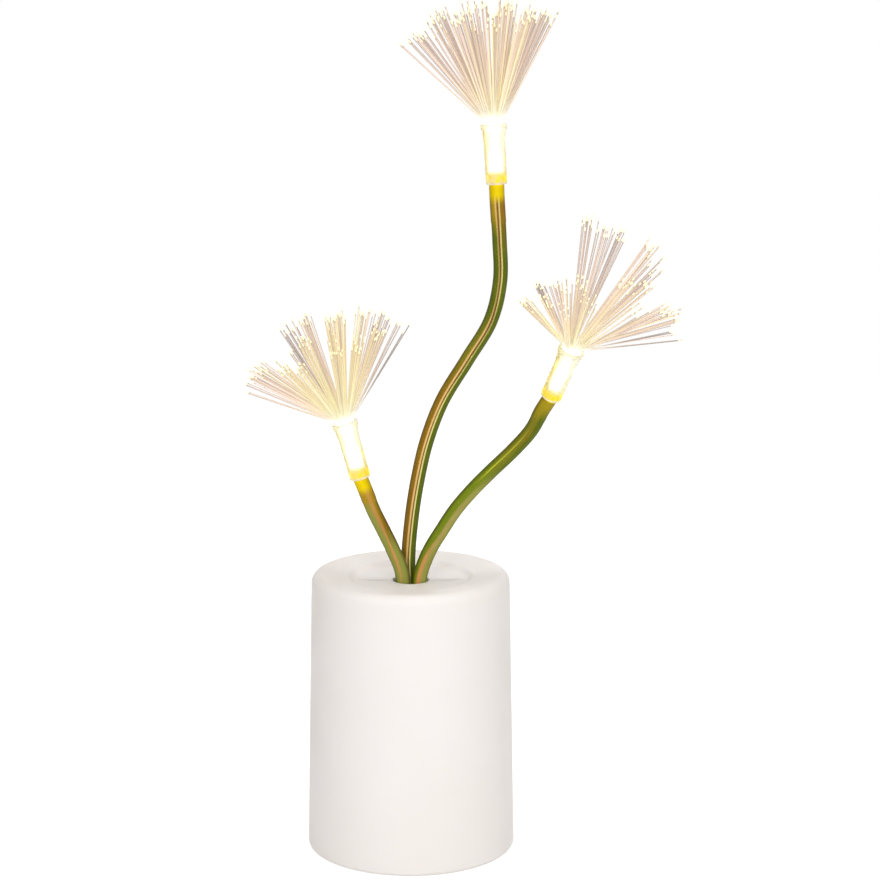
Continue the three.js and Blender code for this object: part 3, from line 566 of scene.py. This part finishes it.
def sleeve_material(name, ring, streaks):
    """Clear sleeve with the light of its LED painted on: a painted yellow glow round its grip,
    painted yellow light along its sides, and a pale lower rim.

    ring is how strongly the yellow glow is painted on the grip, and streaks is how unevenly it runs
    round it.
    """
    n = Nodes(name)
    around, along = n.uv("turned")
    angle = n.times(around, 2 * math.pi)
    place = n.join(n.math("COSINE", angle), n.math("SINE", angle), n.times(along, 0.12))
    patch = n.noise(1.7, 2, place)
    # Painted glow: the LED's yellow light round the grip, also given off as emission
    grip = n.band(along, (0.5, 1.1), (SLEEVE_GRIP - 1.6, SLEEVE_GRIP + 0.8))
    uneven = n.smooth(patch, 0.4, 0.62, 1.0 - streaks, 1.0)
    yellow = n.times(grip, n.times(uneven, ring))
    # Painted light: uneven yellow bands of the LED's light along the sleeve's left and right sides
    edge = n.smooth(n.math("ABSOLUTE", n.math("COSINE", angle)), 0.7, 0.96)
    band = n.smooth(n.noise(1.8, 1, place), 0.42, 0.6)
    faint = n.times(edge, band, 0.7)
    body = n.mix(faint, (254, 251, 232), (244, 228, 112))
    tone = n.mix(yellow, body, (250, 229, 22))
    glow = n.smooth(yellow, 0.0, 1.0, 0.05, 0.16)
    fine = n.noise(260, 2, n.object_place())
    return n.finish(Base_Color=tone, Roughness=0.16, IOR=1.4, Transmission_Weight=0.6,
                    Normal=n.bump(fine, 0.05, 0.0003), Specular_IOR_Level=0.3,
                    Emission_Color=tone, Emission_Strength=glow)


def lit_material(name, colour, edge, strength):
    """Lit epoxy or bonded fibre, slightly uneven."""
    n = Nodes(name)
    fine = n.noise(900, 2, n.object_place())
    tone = n.mix(n.smooth(fine, 0.35, 0.65), colour, edge)
    return n.finish(Base_Color=tone, Roughness=0.2, Emission_Color=tone,
                    Emission_Strength=n.smooth(fine, 0.2, 0.8, strength * 0.85, strength))


def fibre_material():
    """Optical fibre: cream where it leaves the sleeve, grey, pink or warm beyond, and a lit tip.

    The near-white start and the glow near the sleeve are painted glare of the LED, and a steady
    painted glow runs along each strand. The strands of lowest tint get painted shade, and so does a
    ring just below the tip.
    """
    n = Nodes("optical_fibre")
    tint, along = n.uv("strand")
    # The near-white starts of these ramps are painted glare of the LED
    grey = n.ramp(along, [(0.0, (252, 250, 240)), (0.2, (236, 226, 212)), (0.5, (212, 200, 194)),
                          (1.0, (192, 180, 176))])
    pink = n.ramp(along, [(0.0, (252, 250, 236)), (0.25, (245, 231, 206)), (0.6, (235, 214, 198)),
                          (1.0, (221, 201, 188))])
    warm = n.ramp(along, [(0.0, (252, 250, 232)), (0.3, (247, 240, 194)), (0.7, (244, 230, 180)),
                          (1.0, (240, 222, 176))])
    tone = n.mix(n.smooth(tint, 0.12, 0.42), grey, pink)
    tone = n.mix(n.smooth(tint, 0.58, 0.88), tone, warm)
    # Painted shade: strands of the lowest tint turn dark grey beyond their start
    shaded_strands = n.times(n.smooth(tint, 0.0, 0.08, 0.7, 0.0), n.smooth(along, 0.15, 0.5))
    tone = n.mix(shaded_strands, tone, (128, 122, 118))
    dark = n.smooth(n.noise(1.0, 0, n.join(n.times(tint, 300.0))), 0.35, 0.65, 0.0, 0.7)
    tone = n.mix(n.times(dark, n.smooth(along, 0.02, 0.4)), tone, (166, 152, 142))
    # Painted shade: a darker ring just below the lit tip
    ring = n.times(n.band(along, (0.945, 0.955), (0.968, 0.974)), 0.35)
    tone = n.mix(ring, tone, (150, 130, 84))
    tip = n.smooth(along, 0.97, 0.978)
    tone = n.mix(tip, tone, (255, 246, 196))
    # Painted glow: the LED's glare near the sleeve, and a steady glow along the strand
    root_glare = n.smooth(along, 0.0, 0.13, 0.4, 0.0)
    steady_glow = n.smooth(along, 0.0, 0.4, 0.08, 0.36)
    lit = n.math("ADD", n.math("ADD", root_glare, steady_glow), n.times(tip, 0.2))
    return n.finish(Base_Color=tone, Roughness=0.35, IOR=1.49, Specular_IOR_Level=0.2,
                    Emission_Color=tone, Emission_Strength=lit)


# Mesh helpers

def add_mesh(name, points, faces, material, smooth=True, loops=None, uv_name=None):
    """A piece from points and faces. Faces of more than four corners are flat ends."""
    mesh = bpy.data.meshes.new(name)
    mesh.from_pydata([tuple(p) for p in points], [], faces)
    if loops is not None:
        layer = mesh.uv_layers.new(name=uv_name)
        layer.data.foreach_set("uv", np.asarray(loops, np.float32).ravel())
    mesh.materials.append(material)
    mesh.validate()
    for polygon in mesh.polygons:
        polygon.use_smooth = smooth and len(polygon.vertices) <= 4
    piece = bpy.data.objects.new(name, mesh)
    bpy.context.scene.collection.objects.link(piece)
    return piece


def turned(profile, sides):
    """Points, faces and corner UVs of a profile of (radius, height) turned about Z, in mm.

    The profile runs up the outside. It is closed if its last point is its first. UVs are the turn
    as a share and the height in mm.
    """
    points, faces, loops = [], [], []
    closed = profile[0] == profile[-1]
    rings = profile[:-1] if closed else profile
    index = []
    for radius, height in rings:
        if radius == 0:
            index.append([len(points)] * sides)
            points.append((0.0, 0.0, height))
            continue
        index.append(list(range(len(points), len(points) + sides)))
        for i in range(sides):
            angle = 2 * math.pi * i / sides
            points.append((radius * math.cos(angle), radius * math.sin(angle), height))
    pairs = len(rings) if closed else len(rings) - 1
    for k in range(pairs):
        low, high = index[k], index[(k + 1) % len(rings)]
        low_z, high_z = rings[k][1], rings[(k + 1) % len(rings)][1]
        for i in range(sides):
            j = (i + 1) % sides
            corners = [(low[i], i, low_z), (low[j], i + 1, low_z),
                       (high[j], i + 1, high_z), (high[i], i, high_z)]
            kept = {}
            for corner in corners:
                kept.setdefault(corner[0], corner)
            if len(kept) >= 3:
                faces.append(list(kept))
                loops.extend((c[1] / sides, c[2]) for c in kept.values())
    return np.array(points), faces, loops


def arc(centre, middle, radius, start, end, steps):
    """Points of (radius, height) on an arc from one angle to another, in degrees."""
    angles = [math.radians(start + (end - start) * i / steps) for i in range(steps + 1)]
    return [(centre + radius * math.cos(a), middle + radius * math.sin(a)) for a in angles]


def soft_step(t):
    """Zero up to 0, one from 1, and smooth between."""
    t = min(1.0, max(0.0, t))
    return t * t * (3 - 2 * t)


# Stem routes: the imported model's centripetal spline

def spline(points, samples=2400):
    """Points along a centripetal Catmull-Rom curve and their distances from its start, in mm."""
    p = np.array(points, float)
    p = np.vstack([2 * p[0] - p[1], p, 2 * p[-1] - p[-2]])
    out = []
    spans = len(p) - 3
    for k in range(samples + 1):
        t = spans * k / samples
        i = min(int(t), spans - 1)
        w = t - i
        p0, p1, p2, p3 = p[i:i + 4]
        d0, d1, d2 = (np.linalg.norm(b - a) ** 0.5 for a, b in ((p0, p1), (p1, p2), (p2, p3)))
        t1 = ((p1 - p0) / d0 - (p2 - p0) / (d0 + d1) + (p2 - p1) / d1) * d1
        t2 = ((p2 - p1) / d1 - (p3 - p1) / (d1 + d2) + (p3 - p2) / d2) * d1
        c2 = -3 * p1 + 3 * p2 - 2 * t1 - t2
        c3 = 2 * p1 - 2 * p2 + t1 + t2
        out.append(p1 + t1 * w + c2 * w * w + c3 * w ** 3)
    out = np.array(out)
    along = np.concatenate([[0], np.cumsum(np.linalg.norm(np.diff(out, axis=0), axis=1))])
    return out, along


def direction_of(tilt, lean):
    """A head's axis from its tilt to the right and its lean to the front, in degrees."""
    d = np.array([math.tan(math.radians(tilt)), -math.tan(math.radians(lean)), 1.0])
    return d / np.linalg.norm(d)


class Way:
    """The middle line of one stem, from the circuit board to the LED."""

    def __init__(self, stem):
        foot, span = np.array(stem["foot"]), np.array(stem["span"])
        base = np.array([foot[0], foot[1], FLOOR_Z])
        upright = [CORE_START, (CORE_START + HOLDER_BOTTOM) / 2, HOLDER_BOTTOM,
                   (HOLDER_BOTTOM + FLOOR_Z) / 2, FLOOR_Z - 1]
        self.axis = direction_of(stem["tilt"], stem["lean"])
        self.sleeve = base + span
        points = [(foot[0], foot[1], z) for z in upright]
        points += [base + np.array(share) * span for share in stem["route"]]
        points += [self.sleeve, self.sleeve + self.axis * SLEEVE_GRIP]
        self.points, self.along = spline(points)
        self.mouth = FLOOR_Z - CORE_START
        self.tube_start = HOLDER_BOTTOM - CORE_START
        self.end = self.along[-1]
        self.shrink = self.end - SLEEVE_GRIP - stem["shrink"]
        self.foot_zone = (self.mouth + FOOT_BEND[0], self.mouth + FOOT_BEND[1])
        self.neck_zone = (self.shrink - NECK_BEND - FIT_GAP, self.shrink - FIT_GAP)
        self.tangents, self.fronts = self.turn_along()

    def between(self, samples, distance):
        return np.array([np.interp(distance, self.along, samples[:, k]) for k in range(3)])

    def at(self, distance):
        return self.between(self.points, distance)

    def turn_along(self):
        """The direction at each sample, and one to the front that turns as little as possible."""
        tangents = np.gradient(self.points, axis=0)
        tangents /= np.linalg.norm(tangents, axis=1)[:, None]
        front = np.array([0.0, -1.0, 0.0])
        fronts = []
        for tangent in tangents:
            front = front - tangent * (front @ tangent)
            front /= np.linalg.norm(front)
            fronts.append(front.copy())
        return tangents, np.array(fronts)

    def frame_at(self, distance):
        """Directions to the front, to the right and along, at a distance."""
        front = self.between(self.fronts, distance)
        tangent = self.between(self.tangents, distance)
        tangent /= np.linalg.norm(tangent)
        front -= tangent * (front @ tangent)
        front /= np.linalg.norm(front)
        return front, np.cross(tangent, front), tangent


def tube_along(way, stations, radii, sides, shift=(0.0, 0.0), capped=(True, True)):
    """A tube along the way. Its UVs are the turn from the front as a share and the distance."""
    points, faces, loops = [], [], []
    for distance, radius in zip(stations, radii):
        front, right = way.frame_at(distance)[:2]
        middle = way.at(distance) + shift[0] * front + shift[1] * right
        for i in range(sides):
            angle = 2 * math.pi * i / sides - math.pi
            points.append(middle + radius * (math.cos(angle) * front + math.sin(angle) * right))
    rows = len(stations)
    for k in range(rows - 1):
        for i in range(sides):
            j = (i + 1) % sides
            faces.append([k * sides + i, k * sides + j, (k + 1) * sides + j, (k + 1) * sides + i])
            for u, row in ((i, k), (i + 1, k), (i + 1, k + 1), (i, k + 1)):
                loops.append((u / sides - 0.5, stations[row]))
    for cap, row in zip(capped, (0, rows - 1)):
        if not cap:
            continue
        ring = [row * sides + i for i in range(sides)]
        faces.append(ring[::-1] if row == 0 else ring)
        loops.extend((0.0, stations[row]) for _ in ring)
    return np.array(points), faces, loops


# Base

def dish_height(radius):
    """Height of the top from its crest to its hole: a soft slope, a small step, a flat floor."""
    if radius > SLOPE_END:
        return BASE_HEIGHT - SHELF * soft_step((CREST_RADIUS - radius) / (CREST_RADIUS - SLOPE_END))
    drop = SHELF + (DISH_DEPTH - SHELF) * soft_step((SLOPE_END - radius) / (SLOPE_END - STEP_END))
    return BASE_HEIGHT - drop


def drum_profile():
    """The shell's section: up the outer wall, over the crest into the dish, and back inside."""
    wall_radius = FOOT_RADIUS - WALL
    top_inner = TOP_RADIUS - WALL
    rows = [(wall_radius, 0.0)]
    rows += arc(FOOT_RADIUS - FOOT_ROUND, FOOT_ROUND, FOOT_ROUND, -90, 0, 8)
    low, high = FOOT_ROUND, BASE_HEIGHT - TOP_ROUND
    for i in range(1, WALL_STEPS):
        share = i / WALL_STEPS
        rows.append((FOOT_RADIUS + (TOP_RADIUS - FOOT_RADIUS) * share, low + (high - low) * share))
    rows += arc(CREST_RADIUS, high, TOP_ROUND, 0, 90, 14)
    inner = HOLE_RADIUS + HOLE_EASE
    for i in range(1, DISH_STEPS + 1):
        radius = CREST_RADIUS + (inner - CREST_RADIUS) * i / DISH_STEPS
        rows.append((radius, dish_height(radius)))
    rows += [(HOLE_RADIUS + away, FLOOR_Z - depth) for away, depth in HOLE_EDGE]
    rows += [(HOLE_RADIUS, CEILING_Z), (top_inner - TOP_ROUND, CEILING_Z)]
    rows += arc(top_inner - TOP_ROUND, CEILING_Z - TOP_ROUND, TOP_ROUND, 90, 0, 5)[1:]
    rows.append((wall_radius, 0.0))
    return rows


def mould_marks(x, y, z):
    """The change of height that the crease and the ripples bring."""
    radius = math.hypot(x, y)
    if z < FLOOR_Z - 0.01 or radius < HOLE_RADIUS + 0.3 or radius > CREST_RADIUS:
        return 0.0
    change = 0.0
    along = (radius - HOLE_RADIUS) / CREASE_LENGTH
    if 0 < along < 1:
        width = CREASE_HALF * (CREASE_ENDS + math.sin(math.pi * along))
        change -= CREASE_DEPTH * math.sin(math.pi * along) * math.exp(-((y / width) ** 2))
    for middle_x, middle_y, half_x, half_y, height in RIPPLES:
        away = ((x - middle_x) / half_x) ** 2 + ((y - middle_y) / half_y) ** 2
        change += height * math.exp(-away)
    return change


def make_drum(material):
    """The base shell with its moulding marks."""
    points, faces, loops = turned(drum_profile(), DRUM_SIDES)
    moved = [(x, y, z + mould_marks(x, y, z)) for x, y, z in points]
    drum = add_mesh("drum", np.array(moved) * MM, faces, material, loops=loops, uv_name="turned")
    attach(drum, "base")
    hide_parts("base_shell")


# Stems

def stations_between(low, high, step):
    """Even distances from low to high, about a step apart."""
    count = max(2, round((high - low) / step))
    return [low + (high - low) * i / count for i in range(count + 1)]


def make_stem(name, way, material, cores):
    """Two tubes that overlap halfway and the conductors in them, each running across one joint."""
    half = (way.foot_zone[1] + way.neck_zone[0]) / 2
    foot_ends = [way.at(d) * MM for d in way.foot_zone]
    neck_ends = [way.at(d) * MM for d in way.neck_zone]
    low = stations_between(way.tube_start, half + TUBE_LAP, TUBE_STEPS[0])
    high = stations_between(half, way.end - TUBE_SHORT, TUBE_STEPS[1])
    parts = []
    for part, stations, thinner, capped in (("lower", low, LAP_STEP, (True, False)),
                                            ("upper", high, 0.0, (False, True))):
        radii = [TUBE_RADIUS - SKIN + FILM_SWELL * soft_step(d - way.shrink + 0.5) - thinner
                 for d in stations]
        points, faces, loops = tube_along(way, stations, radii, TUBE_SIDES, capped=capped)
        parts.append(add_mesh(f"{name}_tube_{part}", points * MM, faces, material, loops=loops,
                              uv_name="tube"))
    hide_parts(f"{name}_stem_foot", f"{name}_stem")
    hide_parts(f"{name}_stem_neck")
    copper_side = -1 if name == "middle" else 1
    for core, side in (("copper", copper_side), ("green", -copper_side)):
        shift = (0.0, side * CORE_SHIFT)
        for part, (start, end) in (("lower", (0.0, half)), ("upper", (half, way.shrink - FIT_GAP))):
            stations = stations_between(start, end, CORE_STEP)
            radii = [CORE_RADIUS] * len(stations)
            points, faces, loops = tube_along(way, stations, radii, CORE_SIDES, shift)
            piece = add_mesh(f"{name}_{core}_wire_{part}", points * MM, faces, cores[core],
                             loops=loops, uv_name="tube")
            if part == "lower":
                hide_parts(f"{name}_{core}_core")
            parts.append(piece)
    for piece in parts:
        if piece.name.endswith("lower"):
            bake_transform(piece)
        else:
            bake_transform(piece)


# Heads

def head_turn(way):
    """The turn that stands a head's own frame along its axis."""
    return np.array(Vector((0, 0, 1)).rotation_difference(Vector(way.axis)).to_matrix())


def stand(points, way):
    """Points in a head's own frame, in mm, stood on the sleeve's start along its axis."""
    return (np.asarray(points) @ head_turn(way).T + way.sleeve) * MM


def sleeve_profile():
    """The clear sleeve: a rounded foot, a straight wall, a flare up to the beaded lip, the bore."""
    flare = SLEEVE_GRIP + FIT_GAP + LED_LENGTH + FIT_GAP
    lip_low = SLEEVE_LENGTH - LIP_HEIGHT
    bore = SLEEVE_RADIUS - SLEEVE_WALL
    grip = TUBE_RADIUS + FIT_GAP
    rows = [(grip, EASE), (grip + EASE, 0.0), (SLEEVE_RADIUS - FOOT_EASE, 0.0)]
    rows += arc(SLEEVE_RADIUS - FOOT_EASE, FOOT_EASE, FOOT_EASE, -60, 0, 3)
    rows += [(SLEEVE_RADIUS, height) for height in (2.0, SLEEVE_GRIP, 8.0, flare)]
    for i in range(1, FLARE_STEPS + 1):
        share = i / FLARE_STEPS
        rows.append((SLEEVE_RADIUS + (LIP_RADIUS - SLEEVE_RADIUS) * 0.5 * soft_step(share),
                     flare + (lip_low - flare) * share))
    bead = LIP_HEIGHT / 2
    rows += arc(LIP_RADIUS - bead * 0.6, lip_low + bead, bead, -60, 60, 6)
    rows = [(min(radius, LIP_RADIUS), height) for radius, height in rows]
    rows += [(LIP_RADIUS - 0.5, SLEEVE_LENGTH), (MOUTH_RADIUS + EASE, SLEEVE_LENGTH),
             (MOUTH_RADIUS, SLEEVE_LENGTH - EASE), (bore, flare), (bore, SLEEVE_GRIP + FIT_GAP),
             (grip, SLEEVE_GRIP), (grip, EASE)]
    return rows


def led_profile():
    """The LED: a flange and a domed body."""
    low = SLEEVE_GRIP + FIT_GAP
    rim = LED_RADIUS + LED_FLANGE
    top = low + LED_LENGTH - LED_RADIUS
    return [(0, low), (rim, low), (rim, low + 1), (LED_RADIUS, low + 1)] + arc(
        0, top, LED_RADIUS, 0, 88, 10) + [(0, top + LED_RADIUS)]


def slug_profile():
    """The bonded bundle: narrow over the LED, as wide as the mouth at the lip."""
    low = SLEEVE_GRIP + FIT_GAP + LED_LENGTH + 0.1
    top = SLEEVE_LENGTH + SLUG_RISE
    wide = MOUTH_RADIUS - FIT_GAP
    neck = [(low, 0.62), (low + 1.5, 0.56), (low + 3.0, 0.6), (low + 5.0, 0.78), (low + 7.0, 0.94)]
    return [(0, low)] + [(wide * share, height) for height, share in neck] + [
        (wide, top - 0.5), (wide - 0.5, top), (0, top + 0.3)]


def fan_direction(across, front):
    """A direction from its place in the fan, which leans back by SPRAY_LEAN."""
    a, f, lean = (math.radians(v) for v in (across, front, SPRAY_LEAN))
    right, up, out = math.sin(a) * math.cos(f), math.cos(a) * math.cos(f), math.sin(f)
    return np.array([right, up * math.sin(lean) - out * math.cos(lean),
                     up * math.cos(lean) + out * math.sin(lean)])


def scatter_from(seed):
    """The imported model's repeatable scatter between -1 and 1."""
    state = seed
    while True:
        state = state * 16807 % 2147483647
        yield 2 * state / 2147483647 - 1


def spray_strands(name, turn, foot):
    """Start, direction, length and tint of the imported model's strands, and of the finer ones."""
    spray = SPRAYS[name]
    scatter = scatter_from(spray["seed"])
    pick = random.Random(name)
    pitch = (MOUTH_RADIUS - FIT_GAP - FIBRE_RADIUS) / (
        BUNDLE_RINGS * math.sqrt(BUNDLE_SIDES + 1) + 1)
    bundle_pitch = math.sqrt(BUNDLE_SIDES + 1) * pitch
    twist = math.atan(math.sqrt(3) / 5)
    ring = [(math.cos(twist + 2 * math.pi * k / BUNDLE_SIDES),
             math.sin(twist + 2 * math.pi * k / BUNDLE_SIDES)) for k in range(1, BUNDLE_SIDES + 1)]
    fronts = [place[1] for row in spray["rows"] for place in row]
    strands, extra = [], []
    for row_index, row in enumerate(spray["rows"]):
        y = bundle_pitch * (BUNDLE_RINGS - row_index) * math.sqrt(3) / 2
        for i, (across, front, spread, share, tint) in enumerate(row):
            x = bundle_pitch * (i - (len(row) - 1) / 2)

            def strand(offset, jitter, cut):
                direction = fan_direction(across + spread * offset[0] + jitter[0],
                                          front - spread * offset[1] + jitter[1])
                start = np.array([x + pitch * offset[0], y + pitch * offset[1],
                                  SLEEVE_LENGTH + SLUG_RISE])
                shade = min(1.0, max(0.0, tint + pick.uniform(-TINT_SCATTER, TINT_SCATTER)))
                return foot + turn @ start, direction, spray["length"] * share * cut, shade

            for offset in [(0.0, 0.0)] + ring:
                jitter = (ANGLE_SCATTER * next(scatter), ANGLE_SCATTER * next(scatter))
                cut = 1 - LENGTH_SCATTER * (0.5 + 0.5 * next(scatter))
                strands.append(strand(offset, jitter, cut))
            for k in range(EXTRA_STRANDS if spread < SPARSE_SPREAD else 0):
                turned_by = 2 * math.pi * (k + pick.random()) / EXTRA_STRANDS
                out = pick.uniform(EXTRA_NEAREST, 1.0)
                offset = (out * math.cos(turned_by), out * math.sin(turned_by))
                room = EXTRA_DRIFT if share > SHORT_SHARE else 0.0
                drifted = front + pick.uniform(-room, room)
                drift = min(max(drifted, min(fronts)), max(fronts)) - front
                cut = EXTRA_LENGTH - EXTRA_SCATTER * pick.random()
                extra.append(strand(offset, (0.0, drift), cut))
    return strands, extra


def strand_mesh(start, direction, length, sway, tint, store):
    """One strand as a thin tube with a small bulb at its lit tip, added to the store."""
    points, faces, loops = store
    sides = STRAND_SIDES
    helper = np.array([0.0, 0.0, 1.0]) if abs(direction[2]) < 0.9 else np.array([1.0, 0.0, 0.0])
    side = np.cross(direction, helper)
    side /= np.linalg.norm(side)
    other = np.cross(direction, side)
    tip = FIBRE_RADIUS * TIP_RADII
    stations = [(-0.03, 1.0), (0.2, 1.0), (0.45, 1.0), (0.7, 1.0), (0.9, 1.0),
                (1 - tip / length, 0.95), (1 - 0.55 * tip / length, 1.2), (1.0, 0.9)]
    first = len(points)
    for share, swell in stations:
        middle = start + direction * (length * share) + sway * share * share
        for i in range(sides):
            angle = 2 * math.pi * i / sides
            ring = math.cos(angle) * side + math.sin(angle) * other
            points.append(middle + ring * FIBRE_RADIUS * swell)
    for k in range(len(stations) - 1):
        low, high = stations[k][0], stations[k + 1][0]
        for i in range(sides):
            j = (i + 1) % sides
            a, b = first + k * sides, first + (k + 1) * sides
            faces.append([a + i, b + i, b + j, a + j])
            loops.extend([(tint, low), (tint, high), (tint, high), (tint, low)])
    last = first + (len(stations) - 1) * sides
    faces.append([last + i for i in range(sides)])
    loops.extend([(tint, 1.0)] * sides)
    faces.append([first + i for i in reversed(range(sides))])
    loops.extend([(tint, 0.0)] * sides)


def make_spray(name, way, material):
    """The strands of one head, each with a slight bend."""
    pick = random.Random(name + " sway")
    strands, extra = spray_strands(name, head_turn(way), way.sleeve)
    store = ([], [], [])
    for start, direction, length, tint in strands + extra:
        sway = np.array([pick.uniform(-SWAY, SWAY) for _ in range(3)])
        strand_mesh(start, direction, length - TIP_SHORT, sway, tint, store)
    points, faces, loops = store
    spray = add_mesh(f"{name}_spray", np.array(points) * MM, faces, material, loops=loops,
                     uv_name="strand")
    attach(spray, f"{name}_head")
    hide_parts(f"{name}_fibres")


def make_head(name, way, materials):
    """The sleeve, the LED and the bonded fibres in it, and the spray."""
    body = f"{name}_head"
    sleeve = sleeve_material(f"{name}_sleeve_clear", *RINGS[name])
    for part, profile, sides, material, node, slot in (
        ("sleeve_tube", sleeve_profile(), 64, sleeve, "sleeve", "clear_sleeve"),
        ("led_dome", led_profile(), 40, materials["led"], "led", "led"),
        ("fibre_slug", slug_profile(), 40, materials["slug"], None, "optical_fibre"),
    ):
        points, faces, loops = turned(profile, sides)
        piece = add_mesh(f"{name}_{part}", stand(points, way), faces, material, loops=loops,
                         uv_name="turned")
        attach(piece, body)
        if node:
            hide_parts(f"{name}_{node}")
    make_spray(name, way, materials["fibre"])


# Room

def make_room():
    """A pale floor that takes the shadow, fades into the white room and is clear from below."""
    n = Nodes("pale_floor")
    cloth = n.noise(40, 2, n.object_place())
    tone = n.mix(n.smooth(cloth, 0.3, 0.7), (238, 238, 237), (242, 242, 242))
    matt = n.add("ShaderNodeBsdfDiffuse", Color=tone)
    white = n.add("ShaderNodeEmission", Strength=n.times(n.seen(), FLOOR_WHITE))
    clear = n.add("ShaderNodeBsdfTransparent")
    faded = n.times(n.ray("Camera"), n.smooth(n.length(n.object_place()), *FLOOR_FADE))
    under = n.add("ShaderNodeNewGeometry").outputs["Backfacing"]
    both, sides = n.add("ShaderNodeAddShader"), n.add("ShaderNodeMixShader")
    for i, shader in enumerate((matt, white)):
        n.put(both, i, shader.outputs[0])
    n.put(sides, 0, n.math("MAXIMUM", under, faded))
    for i, shader in enumerate((both, clear), 1):
        n.put(sides, i, shader.outputs[0])
    corners = [(x * FLOOR_HALF, y * FLOOR_HALF, 0) for x, y in ((-1, -1), (1, -1), (1, 1), (-1, 1))]
    floor = add_mesh("floor", corners, [[0, 1, 2, 3]], n.surface(sides), smooth=False)


def make_world():
    """A room that is white where it is seen, and a soft, slightly warm light on the object."""
    n = Nodes("white_room", bpy.data.worlds, "ShaderNodeOutputWorld")
    seen = n.seen()
    sky = n.add("ShaderNodeBackground", Color=n.mix(seen, SKY_COLOUR, (1.0, 1.0, 1.0)),
                Strength=n.smooth(seen, 0.0, 1.0, AMBIENT, 1.0))
    bpy.context.scene.world = n.surface(sky)


def make_lights():
    """Large soft lamps round the object, aimed at its middle."""
    for name, place, size, power in LIGHTS:
        data = bpy.data.lights.new(name, "AREA")
        data.shape = "SQUARE"
        data.size = size
        data.energy = power
        data.color = LIGHT_COLOUR
        light = bpy.data.objects.new(name, data)
        light.location = place
        light.visible_camera = False
        light.rotation_euler = (Vector(AIM) - Vector(place)).to_track_quat("-Z", "Y").to_euler()
        bpy.context.scene.collection.objects.link(light)


def make_camera():
    """The photo's own view."""
    data = bpy.data.cameras.new("photo_camera")
    data.sensor_width = SENSOR
    data.lens = SENSOR * FOCAL_PIXELS / PHOTO_PIXELS
    data.clip_start, data.clip_end = CLIP
    camera = bpy.data.objects.new("photo_camera", data)
    pitch, yaw = math.radians(CAMERA_PITCH), math.radians(CAMERA_YAW)
    ahead = Vector((math.sin(yaw) * math.cos(pitch), math.cos(yaw) * math.cos(pitch),
                    -math.sin(pitch)))
    camera.location = CAMERA_PLACE
    camera.rotation_euler = ahead.to_track_quat("-Z", "Y").to_euler()
    bpy.context.scene.collection.objects.link(camera)
    bpy.context.scene.camera = camera


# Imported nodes

def dress_nodes():
    """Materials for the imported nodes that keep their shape."""
    finishes = {
        "white_plastic": plastic("cover_white", (240, 236, 231), (232, 229, 223), 0.5),
        "inner_plastic": plastic("inner_grey", (214, 212, 206), (200, 198, 192), 0.55),
        "black_plastic": plastic("black_moulding", (38, 38, 41), (54, 54, 57), 0.5),
        "red_plastic": plastic("red_wire", (176, 34, 26), (150, 28, 22), 0.35, coat=0.3),
        "steel": metal("steel", (176, 178, 182), (206, 208, 210), 0.3),
        "nickel": metal("nickel", (206, 204, 196), (224, 222, 214), 0.25, (1, 14, 1)),
        "cell_jacket": cell_material(),
        "board_green": board_material(),
        "heat_shrink": plastic("amber_shrink", (206, 140, 36), (188, 122, 30), 0.4),
    }
    for part in frame["record"]["subparts"]:
        slot = part.get("material_slot")
        if slot in finishes:
            mesh = frame["nodes"][part["node"]].data
            mesh.materials.clear()
            mesh.materials.append(finishes[slot])


# The whole

make_camera()
dress_nodes()
make_drum(white_drum())
ways = {name: Way(stem) for name, stem in STEMS.items()}
stem_materials = {name: stem_material(name, way) for name, way in ways.items()}
core_materials = {
    "copper": core_material("copper_insulation", (170, 104, 44), (148, 86, 34)),
    "green": core_material("green_insulation", (92, 122, 30), (76, 102, 24)),
}
head_materials = {
    "led": lit_material("led_epoxy", (255, 252, 236), (255, 246, 206), 2.2),
    "slug": lit_material("fibre_slug", (255, 253, 244), (255, 250, 226), 1.4),
    "fibre": fibre_material(),
}
for stem_name, stem_way in ways.items():
    make_stem(stem_name, stem_way, stem_materials[stem_name], core_materials)
    make_head(stem_name, stem_way, head_materials)
make_room()
make_world()
make_lights()
bpy.context.scene.view_settings.view_transform = "Standard"
